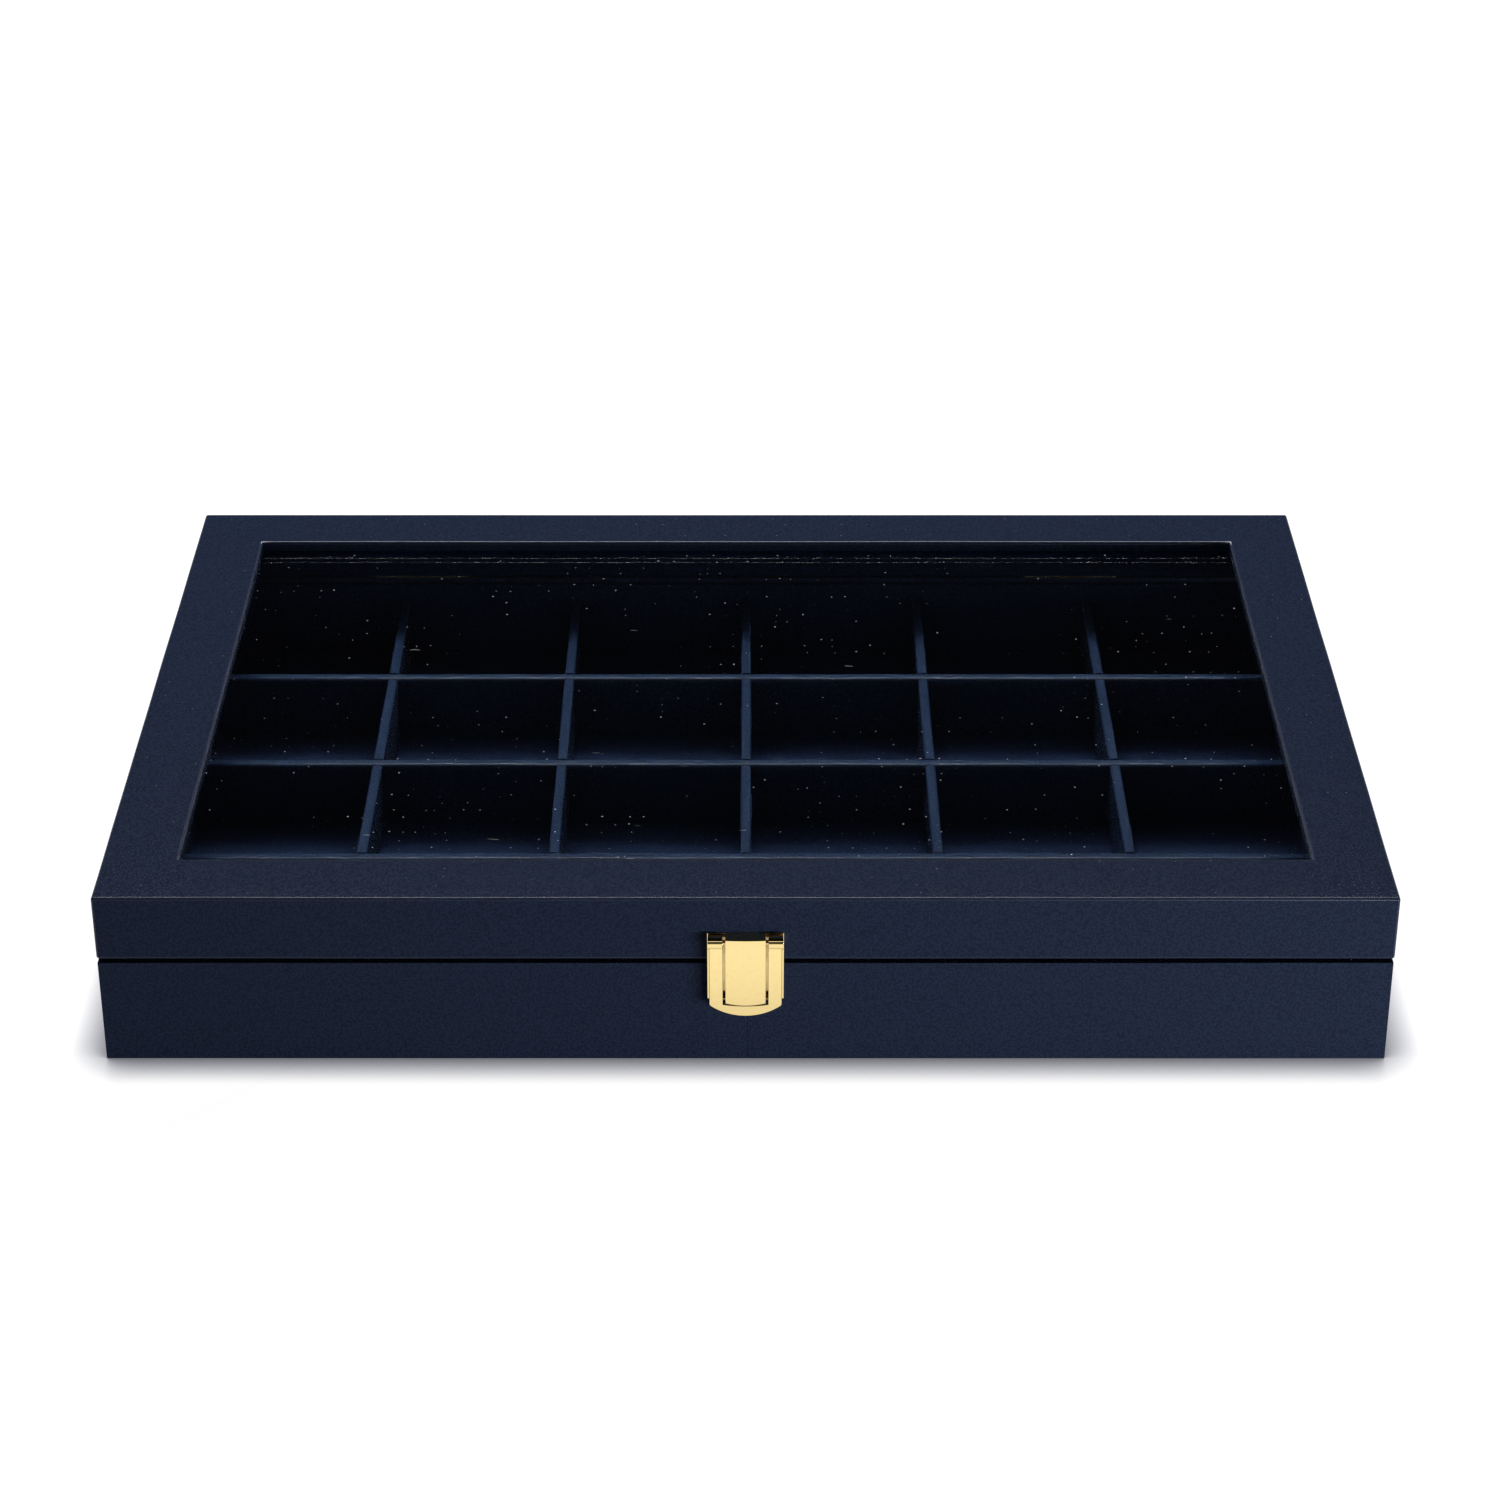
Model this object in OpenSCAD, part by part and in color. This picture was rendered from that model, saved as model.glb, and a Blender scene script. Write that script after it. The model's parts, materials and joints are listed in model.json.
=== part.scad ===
// Display box with a glass lid, a divider grid and a flap latch.
// The origin is at the centre of the underside; the front faces -Y and all sizes are in millimetres.

/* [Compartments] */
// Distance between divider centres across the width
cell_w = 55; // [40:1:70]
// Distance between divider centres from front to back
cell_d = 55; // [40:1:70]
// Height of the dividers above the floor
divider_h = 20; // [12:0.5:23]
// Thickness of the dividers that run from side to side
long_divider_t = 3.7; // [2.5:0.1:5]
// Thickness of the dividers that run from front to back
short_divider_t = 3.1; // [2.5:0.1:5]
// Play of a divider in the notch of the one it crosses, on each side
notch_play = 0.2; // [0.1:0.05:0.4]
// Gap between a divider's end and the lining
divider_end_gap = 0.3; // [0.1:0.1:1]

/* [Case] */
// Height of the base
base_h = 30.8; // [30:0.2:40]
// Height of the lid
lid_h = 19.2; // [16:0.2:30]
// How far the base stands back behind the faces of the lid
base_inset = 0.26; // [0:0.02:0.6]
// Width of the lid's top frame, from the outer face to the window
frame_w = 21; // [18:0.5:30]
// Radius of the covered outer edges
edge_r = 1.2; // [0.9:0.1:1.8]
// Radius of the covered edge round the window
window_edge_r = 1; // [0.5:0.1:1.4]

/* [Sheet and board] */
// Thickness of the leatherette covering
wrap_t = 0.8; // [0.5:0.1:1]
// Thickness of the lid's wall boards
board_t = 7.2; // [6.6:0.2:10]
// Thickness of the bottom board
bottom_t = 3; // [2:0.5:5]
// Thickness of the covered floor card
floor_t = 1; // [0.6:0.1:2]
// Thickness of the covered lining boards
lining_t = 2; // [1.4:0.2:3]
// Drop of the base lining's top edge below the rim
base_lining_drop = 1.4; // [1:0.1:2.4]
// Lift of the lid lining's lower edge above the lid's rim
lid_lining_lift = 0.4; // [0:0.1:1]
// Thickness of the frame boards over the glass
frame_board_t = 2.2; // [1.6:0.2:4]
// Thickness of the glass
glass_t = 2; // [1.6:0.2:3]
// Play between the edge of the glass and the lid's boards
glass_play = 0.5; // [0.2:0.1:0.8]
// Width of the covering's turned-in margin on the underside
turn_in = 12; // [10:1:20]
// How far the covering turns in behind the linings at both rims
rim_turn = 4; // [3:0.5:8]
// How far the felt panel stands below the turned-in margin
felt_proud = 0.2; // [0.1:0.1:0.6]
// Gap round the felt panel
felt_gap = 0.3; // [0.1:0.1:1]

/* [Hinges] */
// Distance of each hinge's middle from the side of the lid
hinge_setback = 70; // [50:5:110]
// Length of a hinge along its pin
hinge_len = 30; // [24:1:40]
// Thickness of a leaf
leaf_t = 0.6; // [0.5:0.05:0.8]
// Gap between the two leaves when the lid is shut
leaf_play = 0.05; // [0.02:0.01:0.1]
// Distance of a leaf's free edge from the inner face of its board
leaf_setback = 0.8; // [0.4:0.1:1.6]
// Distance of the pin's axis behind the back of the lid
hinge_axis_out = 2.2; // [2.1:0.05:2.6]
// Outer radius of the knuckles
knuckle_r = 1.8; // [1.6:0.05:1.85]
// Radius of the hinge pin
hinge_pin_r = 0.8; // [0.6:0.05:1]
// Running clearance round a pin
pin_play = 0.05; // [0.02:0.01:0.1]
// Gap between neighbouring knuckles
knuckle_gap = 0.15; // [0.1:0.05:0.3]
// Thickness of the pin's heads
pin_head_t = 0.5; // [0.4:0.1:1]
// Opening angle at which the stop tails meet
stop_angle = 100.3; // [90.3:1:110.3]
// Reach of the stop tails from the pin's axis
tail_reach = 4.6; // [3.6:0.1:5.5]
// Thickness of the stop tails
tail_t = 0.9; // [0.6:0.1:1.2]

/* [Screws and nails] */
// Radius of a screw's shank
screw_r = 0.8; // [0.6:0.05:1]
// Radius of a screw's countersunk head
screw_head_r = 1.5; // [1.3:0.1:1.8]
// Length of a screw below its head
screw_len = 8; // [6:0.5:10]
// Radius of a nail's shank
nail_r = 0.5; // [0.4:0.05:0.6]
// Radius of a nail's head
nail_head_r = 1.1; // [0.9:0.1:1.3]
// Thickness of a nail's head
nail_head_t = 0.35; // [0.3:0.05:0.5]
// Length of a nail below its head
nail_len = 6; // [4:0.5:6]
// Clearance round a screw or nail in its hole
hole_play = 0.05; // [0.02:0.01:0.1]

/* [Latch] */
// Width of the latch's lid plate and keeper plate
plate_w = 20.6; // [20.6:0.2:24]
// Thickness of the lid plate and keeper plate
plate_t = 0.5; // [0.4:0.1:0.6]
// Width of the flap
flap_w = 19.6; // [19:0.2:20.4]
// Width of the flap over its ears
ear_w = 20.3; // [20.3:0.1:21]
// Width of each arm of the flap
arm_w = 3.6; // [3.2:0.1:4]
// Gap between the tongue and each arm
slot_w = 0.8; // [0.6:0.1:1]
// Thickness of the flap and tongue sheet
sheet_t = 0.6; // [0.5:0.05:0.7]
// Depth of the flap with its rim
flap_depth = 1.5; // [1.2:0.1:1.6]
// Distance of the flap's face in front of the lid
flap_proud = 4.1; // [4:0.1:4.3]
// Distance of the tongue's face in front of the lid
tongue_proud = 4.2; // [4.1:0.1:4.4]
// Outer radius of the ears
ear_r = 1.9; // [1.7:0.05:1.95]
// Gap between the ears and the lid plate
ear_gap = 0.15; // [0.12:0.01:0.2]
// Radius of the latch pin
latch_pin_r = 0.7; // [0.5:0.05:0.8]
// Height of the latch pin's axis above the lid's rim
latch_axis_up = 6.95; // [6:0.05:8]
// Height of the lid plate's top edge above the pin's axis
bridge_up = 1.7; // [1.6:0.05:2]
// Length of the tongue below the pin's axis
tongue_len = 19; // [17:0.5:19.5]
// Length of the flap below the pin's axis
flap_len = 22.45; // [22:0.05:24]
// Height of the flap's bow in the middle
bow_h = 3.15; // [2.8:0.05:3.2]
// Radius of the flap's round lower edge
bow_r = 15.7; // [14:0.1:20]
// How far the lid plate hangs below the lid's rim
plate_drop = 1.1; // [0.6:0.1:1.1]
// Distance of the keeper plate below the rim of the base
keeper_drop = 0.8; // [0.5:0.1:1.2]
// Height of the keeper plate
keeper_h = 9.6; // [9:0.1:12]
// Width of the keeper's catch lip
lip_w = 17; // [12:0.5:18]
// Thickness of the keeper's catch lip
lip_t = 1; // [0.8:0.1:1.2]
// Clearance between the flap's snap ridge and the catch lip
snap_gap = 0.2; // [0.1:0.05:0.3]

/* [Hidden] */

$fn = 48;

// The grid has one node for each divider, so its counts are set here
columns = 6;
rows = 4;

// Half sizes from the middle of the box, from the compartments outwards
lining_x = columns * cell_w / 2;
lining_y = rows * cell_d / 2;
board_x = lining_x + lining_t;
board_y = lining_y + lining_t;
lid_x = board_x + board_t + wrap_t;
lid_y = board_y + board_t + wrap_t;
base_x = lid_x - base_inset;
base_y = lid_y - base_inset;
window_x = lid_x - frame_w;
window_y = lid_y - frame_w;

// Heights, from the table upwards
wrap_z = felt_proud;
board_z = wrap_z + wrap_t;
bottom_z = board_z + bottom_t;
floor_z = bottom_z + floor_t;
divider_z = floor_z + divider_h;
half_lap_z = floor_z + divider_h / 2;
rim_gap = 2 * leaf_t + leaf_play;
lid_z = base_h + rim_gap;
lid_top = lid_z + lid_h;
frame_top = lid_top - wrap_t;
glass_top = frame_top - frame_board_t;
glass_z = glass_top - glass_t;

// Rounding of the covered edges of the dividers and linings
divider_edge_r = 0.8;
lining_edge_r = 0.6;

// How far a cutting shape runs past the face that it cuts
past = 1;

// Hinges
hinge_x = lid_x - hinge_setback;
hinge_y = lid_y + hinge_axis_out;
hinge_z = base_h + leaf_t + leaf_play / 2;
knuckles = 5;
knuckle_len = hinge_len / knuckles;
leaf_edge_play = 0.2;
tail_play = 0.25;
screw_spread = hinge_len / 4;
base_screw_y = (board_y + base_y - wrap_t) / 2;
pin_head_over = 0.5;
screw_tip = 1.5;
nail_tip = 1;
point_r = 0.1;

// Latch
latch_y = -(lid_y + plate_t + ear_gap + ear_r);
latch_z = lid_z + latch_axis_up;
plate_top = latch_z + bridge_up;
tongue_w = flap_w - 2 * arm_w - 2 * slot_w;
slot_half = tongue_w / 2 + slot_w;
flap_y = -(lid_y + flap_proud);
flap_back_y = flap_y + flap_depth;
tongue_y = -(lid_y + tongue_proud);
flap_z = latch_z - flap_len;
keeper_top = base_h - keeper_drop;
keeper_z = keeper_top - keeper_h;
keeper_nail_z = keeper_z + lip_t + (keeper_h - lip_t) / 2;
plate_nail_z = lid_z + latch_axis_up / 2;
lip_y = flap_back_y + snap_gap;
rim_t = 0.5;
ridge_h = 1.2;
ridge_drop = 0.4;
pin_end_gap = 0.15;
cheek_h = 2.7;
heel_front = 1.17;
heel_back = 0.4;
heel_up = 0.05;
nail_x = flap_w / 2 - arm_w / 2;
tongue_r = 20;
bow_inner_r = 40;

// Colours
navy = "#212b40";
dark_navy = "#141b2b";
fibreboard = "#b08d62";
felt = "#1a1c22";
gilt = "#e8cf85";
glass = [0.8, 0.88, 0.9, 0.25];

// General shapes

// Box given by its low and high corners
module span(low, high) {
    translate(low) cube(high - low);
}

// Box centred on the Z axis, given by its half sizes and heights
module block(half_x, half_y, z0, z1) {
    span([-half_x, -half_y, z0], [half_x, half_y, z1]);
}

// The same box with every edge and corner rounded
module soft_block(half_x, half_y, z0, z1, r) {
    block(half_x - r, half_y - r, z0, z1);
    block(half_x, half_y - r, z0 + r, z1 - r);
    block(half_x - r, half_y, z0 + r, z1 - r);
    for (side_x = [-1, 1], side_y = [-1, 1])
        translate([side_x * (half_x - r), side_y * (half_y - r), 0]) {
            translate([0, 0, z0 + r]) cylinder(r = r, h = z1 - z0 - 2 * r);
            for (z = [z0 + r, z1 - r]) translate([0, 0, z]) sphere(r);
        }
    for (z = [z0 + r, z1 - r], side = [-1, 1]) {
        translate([0, side * (half_y - r), z]) rod_x(r, 2 * (half_x - r));
        translate([side * (half_x - r), 0, z]) rotate([90, 0, 0])
            cylinder(r = r, h = 2 * (half_y - r), center = true);
    }
}

// Round bar along X, centred
module rod_x(r, length) {
    rotate([0, 90, 0]) cylinder(r = r, h = length, center = true);
}

// Flat outline drawn in X and Z, given a thickness towards the front from y0
module pressed(y0, t) {
    translate([0, y0, 0]) rotate([90, 0, 0]) linear_extrude(t) children();
}

// Upright covered board along X with two rounded top edges, centred on the Y axis
module covered_board(length, t, z0, z1, r) {
    rotate([90, 0, 90]) linear_extrude(length, center = true) {
        translate([-t / 2, z0]) square([t, z1 - z0 - r]);
        translate([-t / 2 + r, z0]) square([t - 2 * r, z1 - z0]);
        for (side = [-1, 1]) translate([side * (t / 2 - r), z1 - r]) circle(r);
    }
}

// Round hole along Y into the front, from outside
module front_hole(x, z, r, depth) {
    translate([x, -lid_y - plate_t - past, z]) rotate([-90, 0, 0])
        cylinder(r = r, h = depth + plate_t + past);
}

// Base

// Screw holes through whatever lies under the base leaves
module base_screw_holes(r) {
    for (side = [-1, 1], end = [-1, 1])
        translate([side * hinge_x + end * screw_spread, base_screw_y, base_h - screw_len - screw_tip])
            cylinder(r = r, h = screw_len + screw_tip + rim_gap);
}

// Nail holes of the keeper through the covering and the front board
module keeper_nail_holes(r) {
    for (side = [-1, 1]) front_hole(side * nail_x, keeper_nail_z, r, nail_len);
}

// Room for the covering where it turns down inside the rim
module base_rim_rebate() {
    block(board_x + wrap_t, board_y + wrap_t, base_h - rim_turn, base_h);
}

module base_wrap() {
    color(navy) difference() {
        soft_block(base_x, base_y, wrap_z, base_h, edge_r);
        difference() {
            block(base_x - wrap_t, base_y - wrap_t, board_z, base_h - wrap_t);
            base_rim_rebate();
        }
        block(board_x, board_y, board_z, base_h + past);
        block(base_x - turn_in, base_y - turn_in, wrap_z - past, board_z + past);
        base_screw_holes(screw_r + hole_play);
        keeper_nail_holes(nail_r + hole_play);
    }
}

// Front or back board of the base, which runs the full width
module base_long_board(side) {
    outer_y = base_y - wrap_t;
    color(fibreboard) difference() {
        span([-base_x + wrap_t, min(side * board_y, side * outer_y), board_z],
            [base_x - wrap_t, max(side * board_y, side * outer_y), base_h - wrap_t]);
        base_rim_rebate();
        base_screw_holes(screw_r + hole_play);
        keeper_nail_holes(nail_r + hole_play);
    }
}

module base_front_board() { base_long_board(-1); }
module base_back_board() { base_long_board(1); }

// Left or right board of the base, which fits between the long ones
module base_short_board(side) {
    outer_x = base_x - wrap_t;
    color(fibreboard) difference() {
        span([min(side * board_x, side * outer_x), -board_y, board_z],
            [max(side * board_x, side * outer_x), board_y, base_h - wrap_t]);
        base_rim_rebate();
    }
}

module base_left_board() { base_short_board(-1); }
module base_right_board() { base_short_board(1); }

module base_bottom_board() {
    color(fibreboard) block(board_x, board_y, board_z, bottom_z);
}

module underside_felt() {
    color(felt) block(base_x - turn_in - felt_gap, base_y - turn_in - felt_gap, 0, board_z);
}

module floor_pad() {
    color(dark_navy) block(lining_x, lining_y, bottom_z, floor_z);
}

// Lining along the front or back, the full width of the space between the boards
module long_lining(side, z0, z1) {
    color(dark_navy) translate([0, side * (lining_y + lining_t / 2), 0])
        covered_board(2 * board_x, lining_t, z0, z1, lining_edge_r);
}

// Lining along the left or right, between the long linings
module short_lining(side, z0, z1) {
    color(dark_navy) translate([side * (lining_x + lining_t / 2), 0, 0]) rotate([0, 0, 90])
        covered_board(2 * lining_y, lining_t, z0, z1, lining_edge_r);
}

module base_front_lining() { long_lining(-1, bottom_z, base_h - base_lining_drop); }
module base_back_lining() { long_lining(1, bottom_z, base_h - base_lining_drop); }
module base_left_lining() { short_lining(-1, bottom_z, base_h - base_lining_drop); }
module base_right_lining() { short_lining(1, bottom_z, base_h - base_lining_drop); }

// Divider from side to side, notched from below over every short divider
module long_divider(place) {
    notch_w = short_divider_t + 2 * notch_play;
    color(navy) translate([0, (place - rows / 2) * cell_d, 0]) difference() {
        covered_board(2 * (lining_x - divider_end_gap), long_divider_t, floor_z, divider_z, divider_edge_r);
        for (column = [1 : columns - 1])
            translate([(column - columns / 2) * cell_w, 0, 0])
                block(notch_w / 2, long_divider_t, floor_z - past, half_lap_z);
    }
}

module front_long_divider() { long_divider(1); }
module middle_long_divider() { long_divider(2); }
module back_long_divider() { long_divider(3); }

// Divider from front to back, notched from above under every long divider
module short_divider(place) {
    notch_w = long_divider_t + 2 * notch_play;
    color(navy) translate([(place - columns / 2) * cell_w, 0, 0]) difference() {
        rotate([0, 0, 90])
            covered_board(2 * (lining_y - divider_end_gap), short_divider_t, floor_z, divider_z, divider_edge_r);
        for (row = [1 : rows - 1])
            translate([0, (row - rows / 2) * cell_d, 0])
                block(short_divider_t, notch_w / 2, half_lap_z, divider_z + past);
    }
}

module short_divider_1() { short_divider(1); }
module short_divider_2() { short_divider(2); }
module short_divider_3() { short_divider(3); }
module short_divider_4() { short_divider(4); }
module short_divider_5() { short_divider(5); }

// Hinges

// Middle of one knuckle along the pin, counted from one end
function knuckle_x(place) = (place - (knuckles - 1) / 2) * knuckle_len;

// One hinge leaf in the hinge's own frame, with the pin along X and the leaf towards -Y.
// own lists its knuckles, and up is -1 for the base leaf or 1 for the lid leaf.
module leaf(own, up, tail_angle) {
    leaf_z = up * (leaf_play / 2 + leaf_t / 2);
    free_edge = -hinge_axis_out - (lid_y - board_y) + leaf_setback;
    plate_edge = -knuckle_r - leaf_edge_play;
    web_r = (hinge_pin_r + pin_play + knuckle_r) / 2;
    web_end = knuckle_r + 2 * tail_play;
    web_len = knuckle_len - 2 * knuckle_gap;
    difference() {
        union() {
            translate([0, (free_edge + plate_edge) / 2, leaf_z])
                cube([hinge_len, plate_edge - free_edge, leaf_t], center = true);
            for (place = own) translate([knuckle_x(place), 0, 0]) {
                rod_x(knuckle_r, knuckle_len - knuckle_gap);
                translate([0, (plate_edge - web_r) / 2, leaf_z])
                    cube([web_len, -web_r - plate_edge, leaf_t], center = true);
                rotate([tail_angle, 0, 0])
                    translate([0, (web_r + web_end) / 2, up * tail_t / 2])
                        cube([web_len, web_end - web_r, tail_t], center = true);
            }
            rotate([tail_angle, 0, 0])
                translate([0, (knuckle_r + tail_play + tail_reach) / 2, up * tail_t / 2])
                    cube([hinge_len, tail_reach - knuckle_r - tail_play, tail_t], center = true);
        }
        rod_x(hinge_pin_r + pin_play, hinge_len + past);
        for (end = [-1, 1])
            translate([end * screw_spread, base_screw_y - hinge_y, up * leaf_play / 2])
                face_along(up) cylinder(r1 = screw_head_r + hole_play, r2 = screw_r + hole_play, h = leaf_t);
    }
}

// Keeps a shape that stands on the XY plane as it is, or turns it over if up is -1
module face_along(up) {
    rotate([up > 0 ? 0 : 180, 0, 0]) children();
}

module hinge_base_leaf(side) {
    color(gilt) translate([side * hinge_x, hinge_y, hinge_z])
        leaf([0, 2, 4], -1, -stop_angle / 2);
}

module hinge_lid_leaf(side) {
    color(gilt) translate([side * hinge_x, hinge_y, hinge_z])
        leaf([1, 3], 1, stop_angle / 2);
}

module left_hinge_base_leaf() { hinge_base_leaf(-1); }
module right_hinge_base_leaf() { hinge_base_leaf(1); }
module left_hinge_lid_leaf() { hinge_lid_leaf(-1); }
module right_hinge_lid_leaf() { hinge_lid_leaf(1); }

// Hinge pin with a flat head at each end
module hinge_pin(side) {
    head_x = (hinge_len - knuckle_gap) / 2;
    color(gilt) translate([side * hinge_x, hinge_y, hinge_z]) {
        rod_x(hinge_pin_r, 2 * head_x);
        for (end = [-1, 1]) translate([end * (head_x + pin_head_t / 2), 0, 0])
            rod_x(hinge_pin_r + pin_head_over, pin_head_t);
    }
}

module left_hinge_pin() { hinge_pin(-1); }
module right_hinge_pin() { hinge_pin(1); }

// Countersunk wood screw, its head's face at z = 0 and its point towards -Z
module screw() {
    translate([0, 0, -leaf_t]) cylinder(r1 = screw_r, r2 = screw_head_r, h = leaf_t);
    translate([0, 0, -leaf_t - screw_len]) cylinder(r = screw_r, h = screw_len);
    translate([0, 0, -leaf_t - screw_len - screw_tip]) cylinder(r1 = point_r, r2 = screw_r, h = screw_tip);
}

module base_hinge_screws() {
    color(gilt) for (side = [-1, 1], end = [-1, 1])
        translate([side * hinge_x + end * screw_spread, base_screw_y, base_h + leaf_t]) screw();
}

module lid_hinge_screws() {
    color(gilt) for (side = [-1, 1], end = [-1, 1])
        translate([side * hinge_x + end * screw_spread, base_screw_y, lid_z - leaf_t])
            rotate([180, 0, 0]) screw();
}

// Lid

module lid_screw_holes(r) {
    for (side = [-1, 1], end = [-1, 1])
        translate([side * hinge_x + end * screw_spread, base_screw_y, lid_z - rim_gap])
            cylinder(r = r, h = screw_len + screw_tip + rim_gap);
}

module plate_nail_holes(r) {
    for (side = [-1, 1]) front_hole(side * nail_x, plate_nail_z, r, nail_len);
}

// Sharp part of the window's top edge outside its rounding, along one side of the window
module edge_waste(half_len, edge) {
    r = window_edge_r;
    difference() {
        span([-half_len, edge, lid_top - r], [half_len, edge + r + past, lid_top + past]);
        span([-half_len - past, edge + r, lid_top - r - past],
            [half_len + past, edge + r + 2 * past, lid_top]);
        translate([0, edge + r, lid_top - r]) rod_x(r, 2 * half_len + 2 * past);
    }
}

// Waste along the front and back edges of the window
module long_waste(extra) {
    for (turn = [0, 180]) rotate([0, 0, turn]) edge_waste(window_x + extra, window_y);
}

// Waste along the left and right edges of the window
module short_waste(extra) {
    for (turn = [90, 270]) rotate([0, 0, turn]) edge_waste(window_y + extra, window_x);
}

// Room for the covering where it turns up inside the lid's rim
module lid_rim_rebate() {
    block(board_x + wrap_t, board_y + wrap_t, lid_z, lid_z + rim_turn);
}

module lid_wrap() {
    color(navy) difference() {
        soft_block(lid_x, lid_y, lid_z, lid_top, edge_r);
        difference() {
            block(lid_x - wrap_t, lid_y - wrap_t, lid_z + wrap_t, frame_top);
            block(window_x + wrap_t, window_y + wrap_t, glass_top, frame_top + past);
            lid_rim_rebate();
        }
        block(board_x, board_y, lid_z - past, glass_top);
        block(window_x, window_y, lid_z, lid_top + past);
        long_waste(0);
        short_waste(0);
        intersection() {
            long_waste(window_edge_r);
            short_waste(window_edge_r);
        }
        lid_screw_holes(screw_r + hole_play);
        plate_nail_holes(nail_r + hole_play);
    }
}

// Front or back board of the lid, which runs the full width
module lid_long_board(side) {
    outer_y = lid_y - wrap_t;
    color(fibreboard) difference() {
        span([-lid_x + wrap_t, min(side * board_y, side * outer_y), lid_z + wrap_t],
            [lid_x - wrap_t, max(side * board_y, side * outer_y), glass_top]);
        lid_rim_rebate();
        lid_screw_holes(screw_r + hole_play);
        plate_nail_holes(nail_r + hole_play);
    }
}

module lid_front_board() { lid_long_board(-1); }
module lid_back_board() { lid_long_board(1); }

// Left or right board of the lid, which fits between the long ones
module lid_short_board(side) {
    outer_x = lid_x - wrap_t;
    color(fibreboard) difference() {
        span([min(side * board_x, side * outer_x), -board_y, lid_z + wrap_t],
            [max(side * board_x, side * outer_x), board_y, glass_top]);
        lid_rim_rebate();
    }
}

module lid_left_board() { lid_short_board(-1); }
module lid_right_board() { lid_short_board(1); }

// One mitred board of the top frame, with its outer edge towards -Y
module frame_rail(outer_half, outer, inner_half, inner) {
    color(fibreboard) translate([0, 0, glass_top]) linear_extrude(frame_board_t)
        polygon([[-outer_half, -outer], [outer_half, -outer], [inner_half, -inner], [-inner_half, -inner]]);
}

module long_rail(turn) {
    rotate([0, 0, turn])
        frame_rail(lid_x - wrap_t, lid_y - wrap_t, window_x + wrap_t, window_y + wrap_t);
}

module short_rail(turn) {
    rotate([0, 0, turn])
        frame_rail(lid_y - wrap_t, lid_x - wrap_t, window_y + wrap_t, window_x + wrap_t);
}

module lid_front_rail() { long_rail(0); }
module lid_back_rail() { long_rail(180); }
module lid_left_rail() { short_rail(270); }
module lid_right_rail() { short_rail(90); }

module glass_pane() {
    color(glass) block(board_x - glass_play, board_y - glass_play, glass_z, glass_top);
}

// The lid's linings are turned over, so that their rounded edges face down
module lid_lining_place() {
    translate([0, 0, lid_z + lid_lining_lift + glass_z]) rotate([180, 0, 0]) children();
}

module lid_front_lining() { lid_lining_place() long_lining(1, lid_z + lid_lining_lift, glass_z); }
module lid_back_lining() { lid_lining_place() long_lining(-1, lid_z + lid_lining_lift, glass_z); }
module lid_left_lining() { lid_lining_place() short_lining(-1, lid_z + lid_lining_lift, glass_z); }
module lid_right_lining() { lid_lining_place() short_lining(1, lid_z + lid_lining_lift, glass_z); }

// Latch

// Nail with its head's underside at y0 and its point towards +Y
module nail(x, y0, z) {
    translate([x, y0, z]) rotate([-90, 0, 0]) {
        translate([0, 0, -nail_head_t]) cylinder(r = nail_head_r, h = nail_head_t);
        cylinder(r = nail_r, h = nail_len - nail_tip);
        translate([0, 0, nail_len - nail_tip]) cylinder(r1 = nail_r, r2 = point_r, h = nail_tip);
    }
}

module keeper_nails() {
    color(gilt) for (side = [-1, 1]) nail(side * nail_x, -base_y - plate_t, keeper_nail_z);
}

module latch_plate_nails() {
    color(gilt) for (side = [-1, 1]) nail(side * nail_x, -lid_y - plate_t, plate_nail_z);
}

// Plate on the base, with the lip that the flap's ridge snaps under
module latch_keeper() {
    lip_r = lip_t / 2;
    color(gilt) difference() {
        union() {
            pressed(-base_y, plate_t) translate([-plate_w / 2, keeper_z]) square([plate_w, keeper_h]);
            span([-lip_w / 2, lip_y + lip_r, keeper_z], [lip_w / 2, -base_y, keeper_z + lip_t]);
            translate([0, lip_y + lip_r, keeper_z + lip_r]) rod_x(lip_r, lip_w);
        }
        keeper_nail_holes(nail_r + hole_play);
    }
}

// Outline of the tongue in X and Z, with its slightly round lower end
module tongue_outline() {
    tongue_z = latch_z - tongue_len;
    intersection() {
        translate([-tongue_w / 2, tongue_z - past]) square([tongue_w, plate_top - tongue_z + past]);
        union() {
            translate([0, tongue_z + tongue_r]) circle(tongue_r, $fn = 180);
            translate([-tongue_w / 2, tongue_z + tongue_r]) square([tongue_w, tongue_r]);
        }
    }
}

// Lid plate, bridge, cheeks for the pin and the fixed tongue in front
module latch_plate() {
    back_y = -lid_y;
    cheek_x = tongue_w / 2 - sheet_t;
    color(gilt) difference() {
        union() {
            pressed(back_y, plate_t) translate([-plate_w / 2, lid_z - plate_drop])
                square([plate_w, plate_top - lid_z + plate_drop]);
            span([-tongue_w / 2, tongue_y, plate_top - sheet_t], [tongue_w / 2, back_y, plate_top]);
            pressed(tongue_y + sheet_t, sheet_t) tongue_outline();
            for (side = [-1, 1]) {
                translate([side * (cheek_x + sheet_t / 2), 0, 0])
                    span([-sheet_t / 2, tongue_y, plate_top - sheet_t - cheek_h],
                        [sheet_t / 2, back_y, plate_top - sheet_t]);
                translate([side * (cheek_x + sheet_t / 2), 0, 0])
                    span([-sheet_t / 2, tongue_y, keeper_z + 2 * lip_t], [sheet_t / 2, flap_back_y, plate_top]);
            }
        }
        translate([0, latch_y, latch_z]) rod_x(latch_pin_r + pin_play, tongue_w + 2 * past);
        plate_nail_holes(nail_r + hole_play);
    }
}

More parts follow.
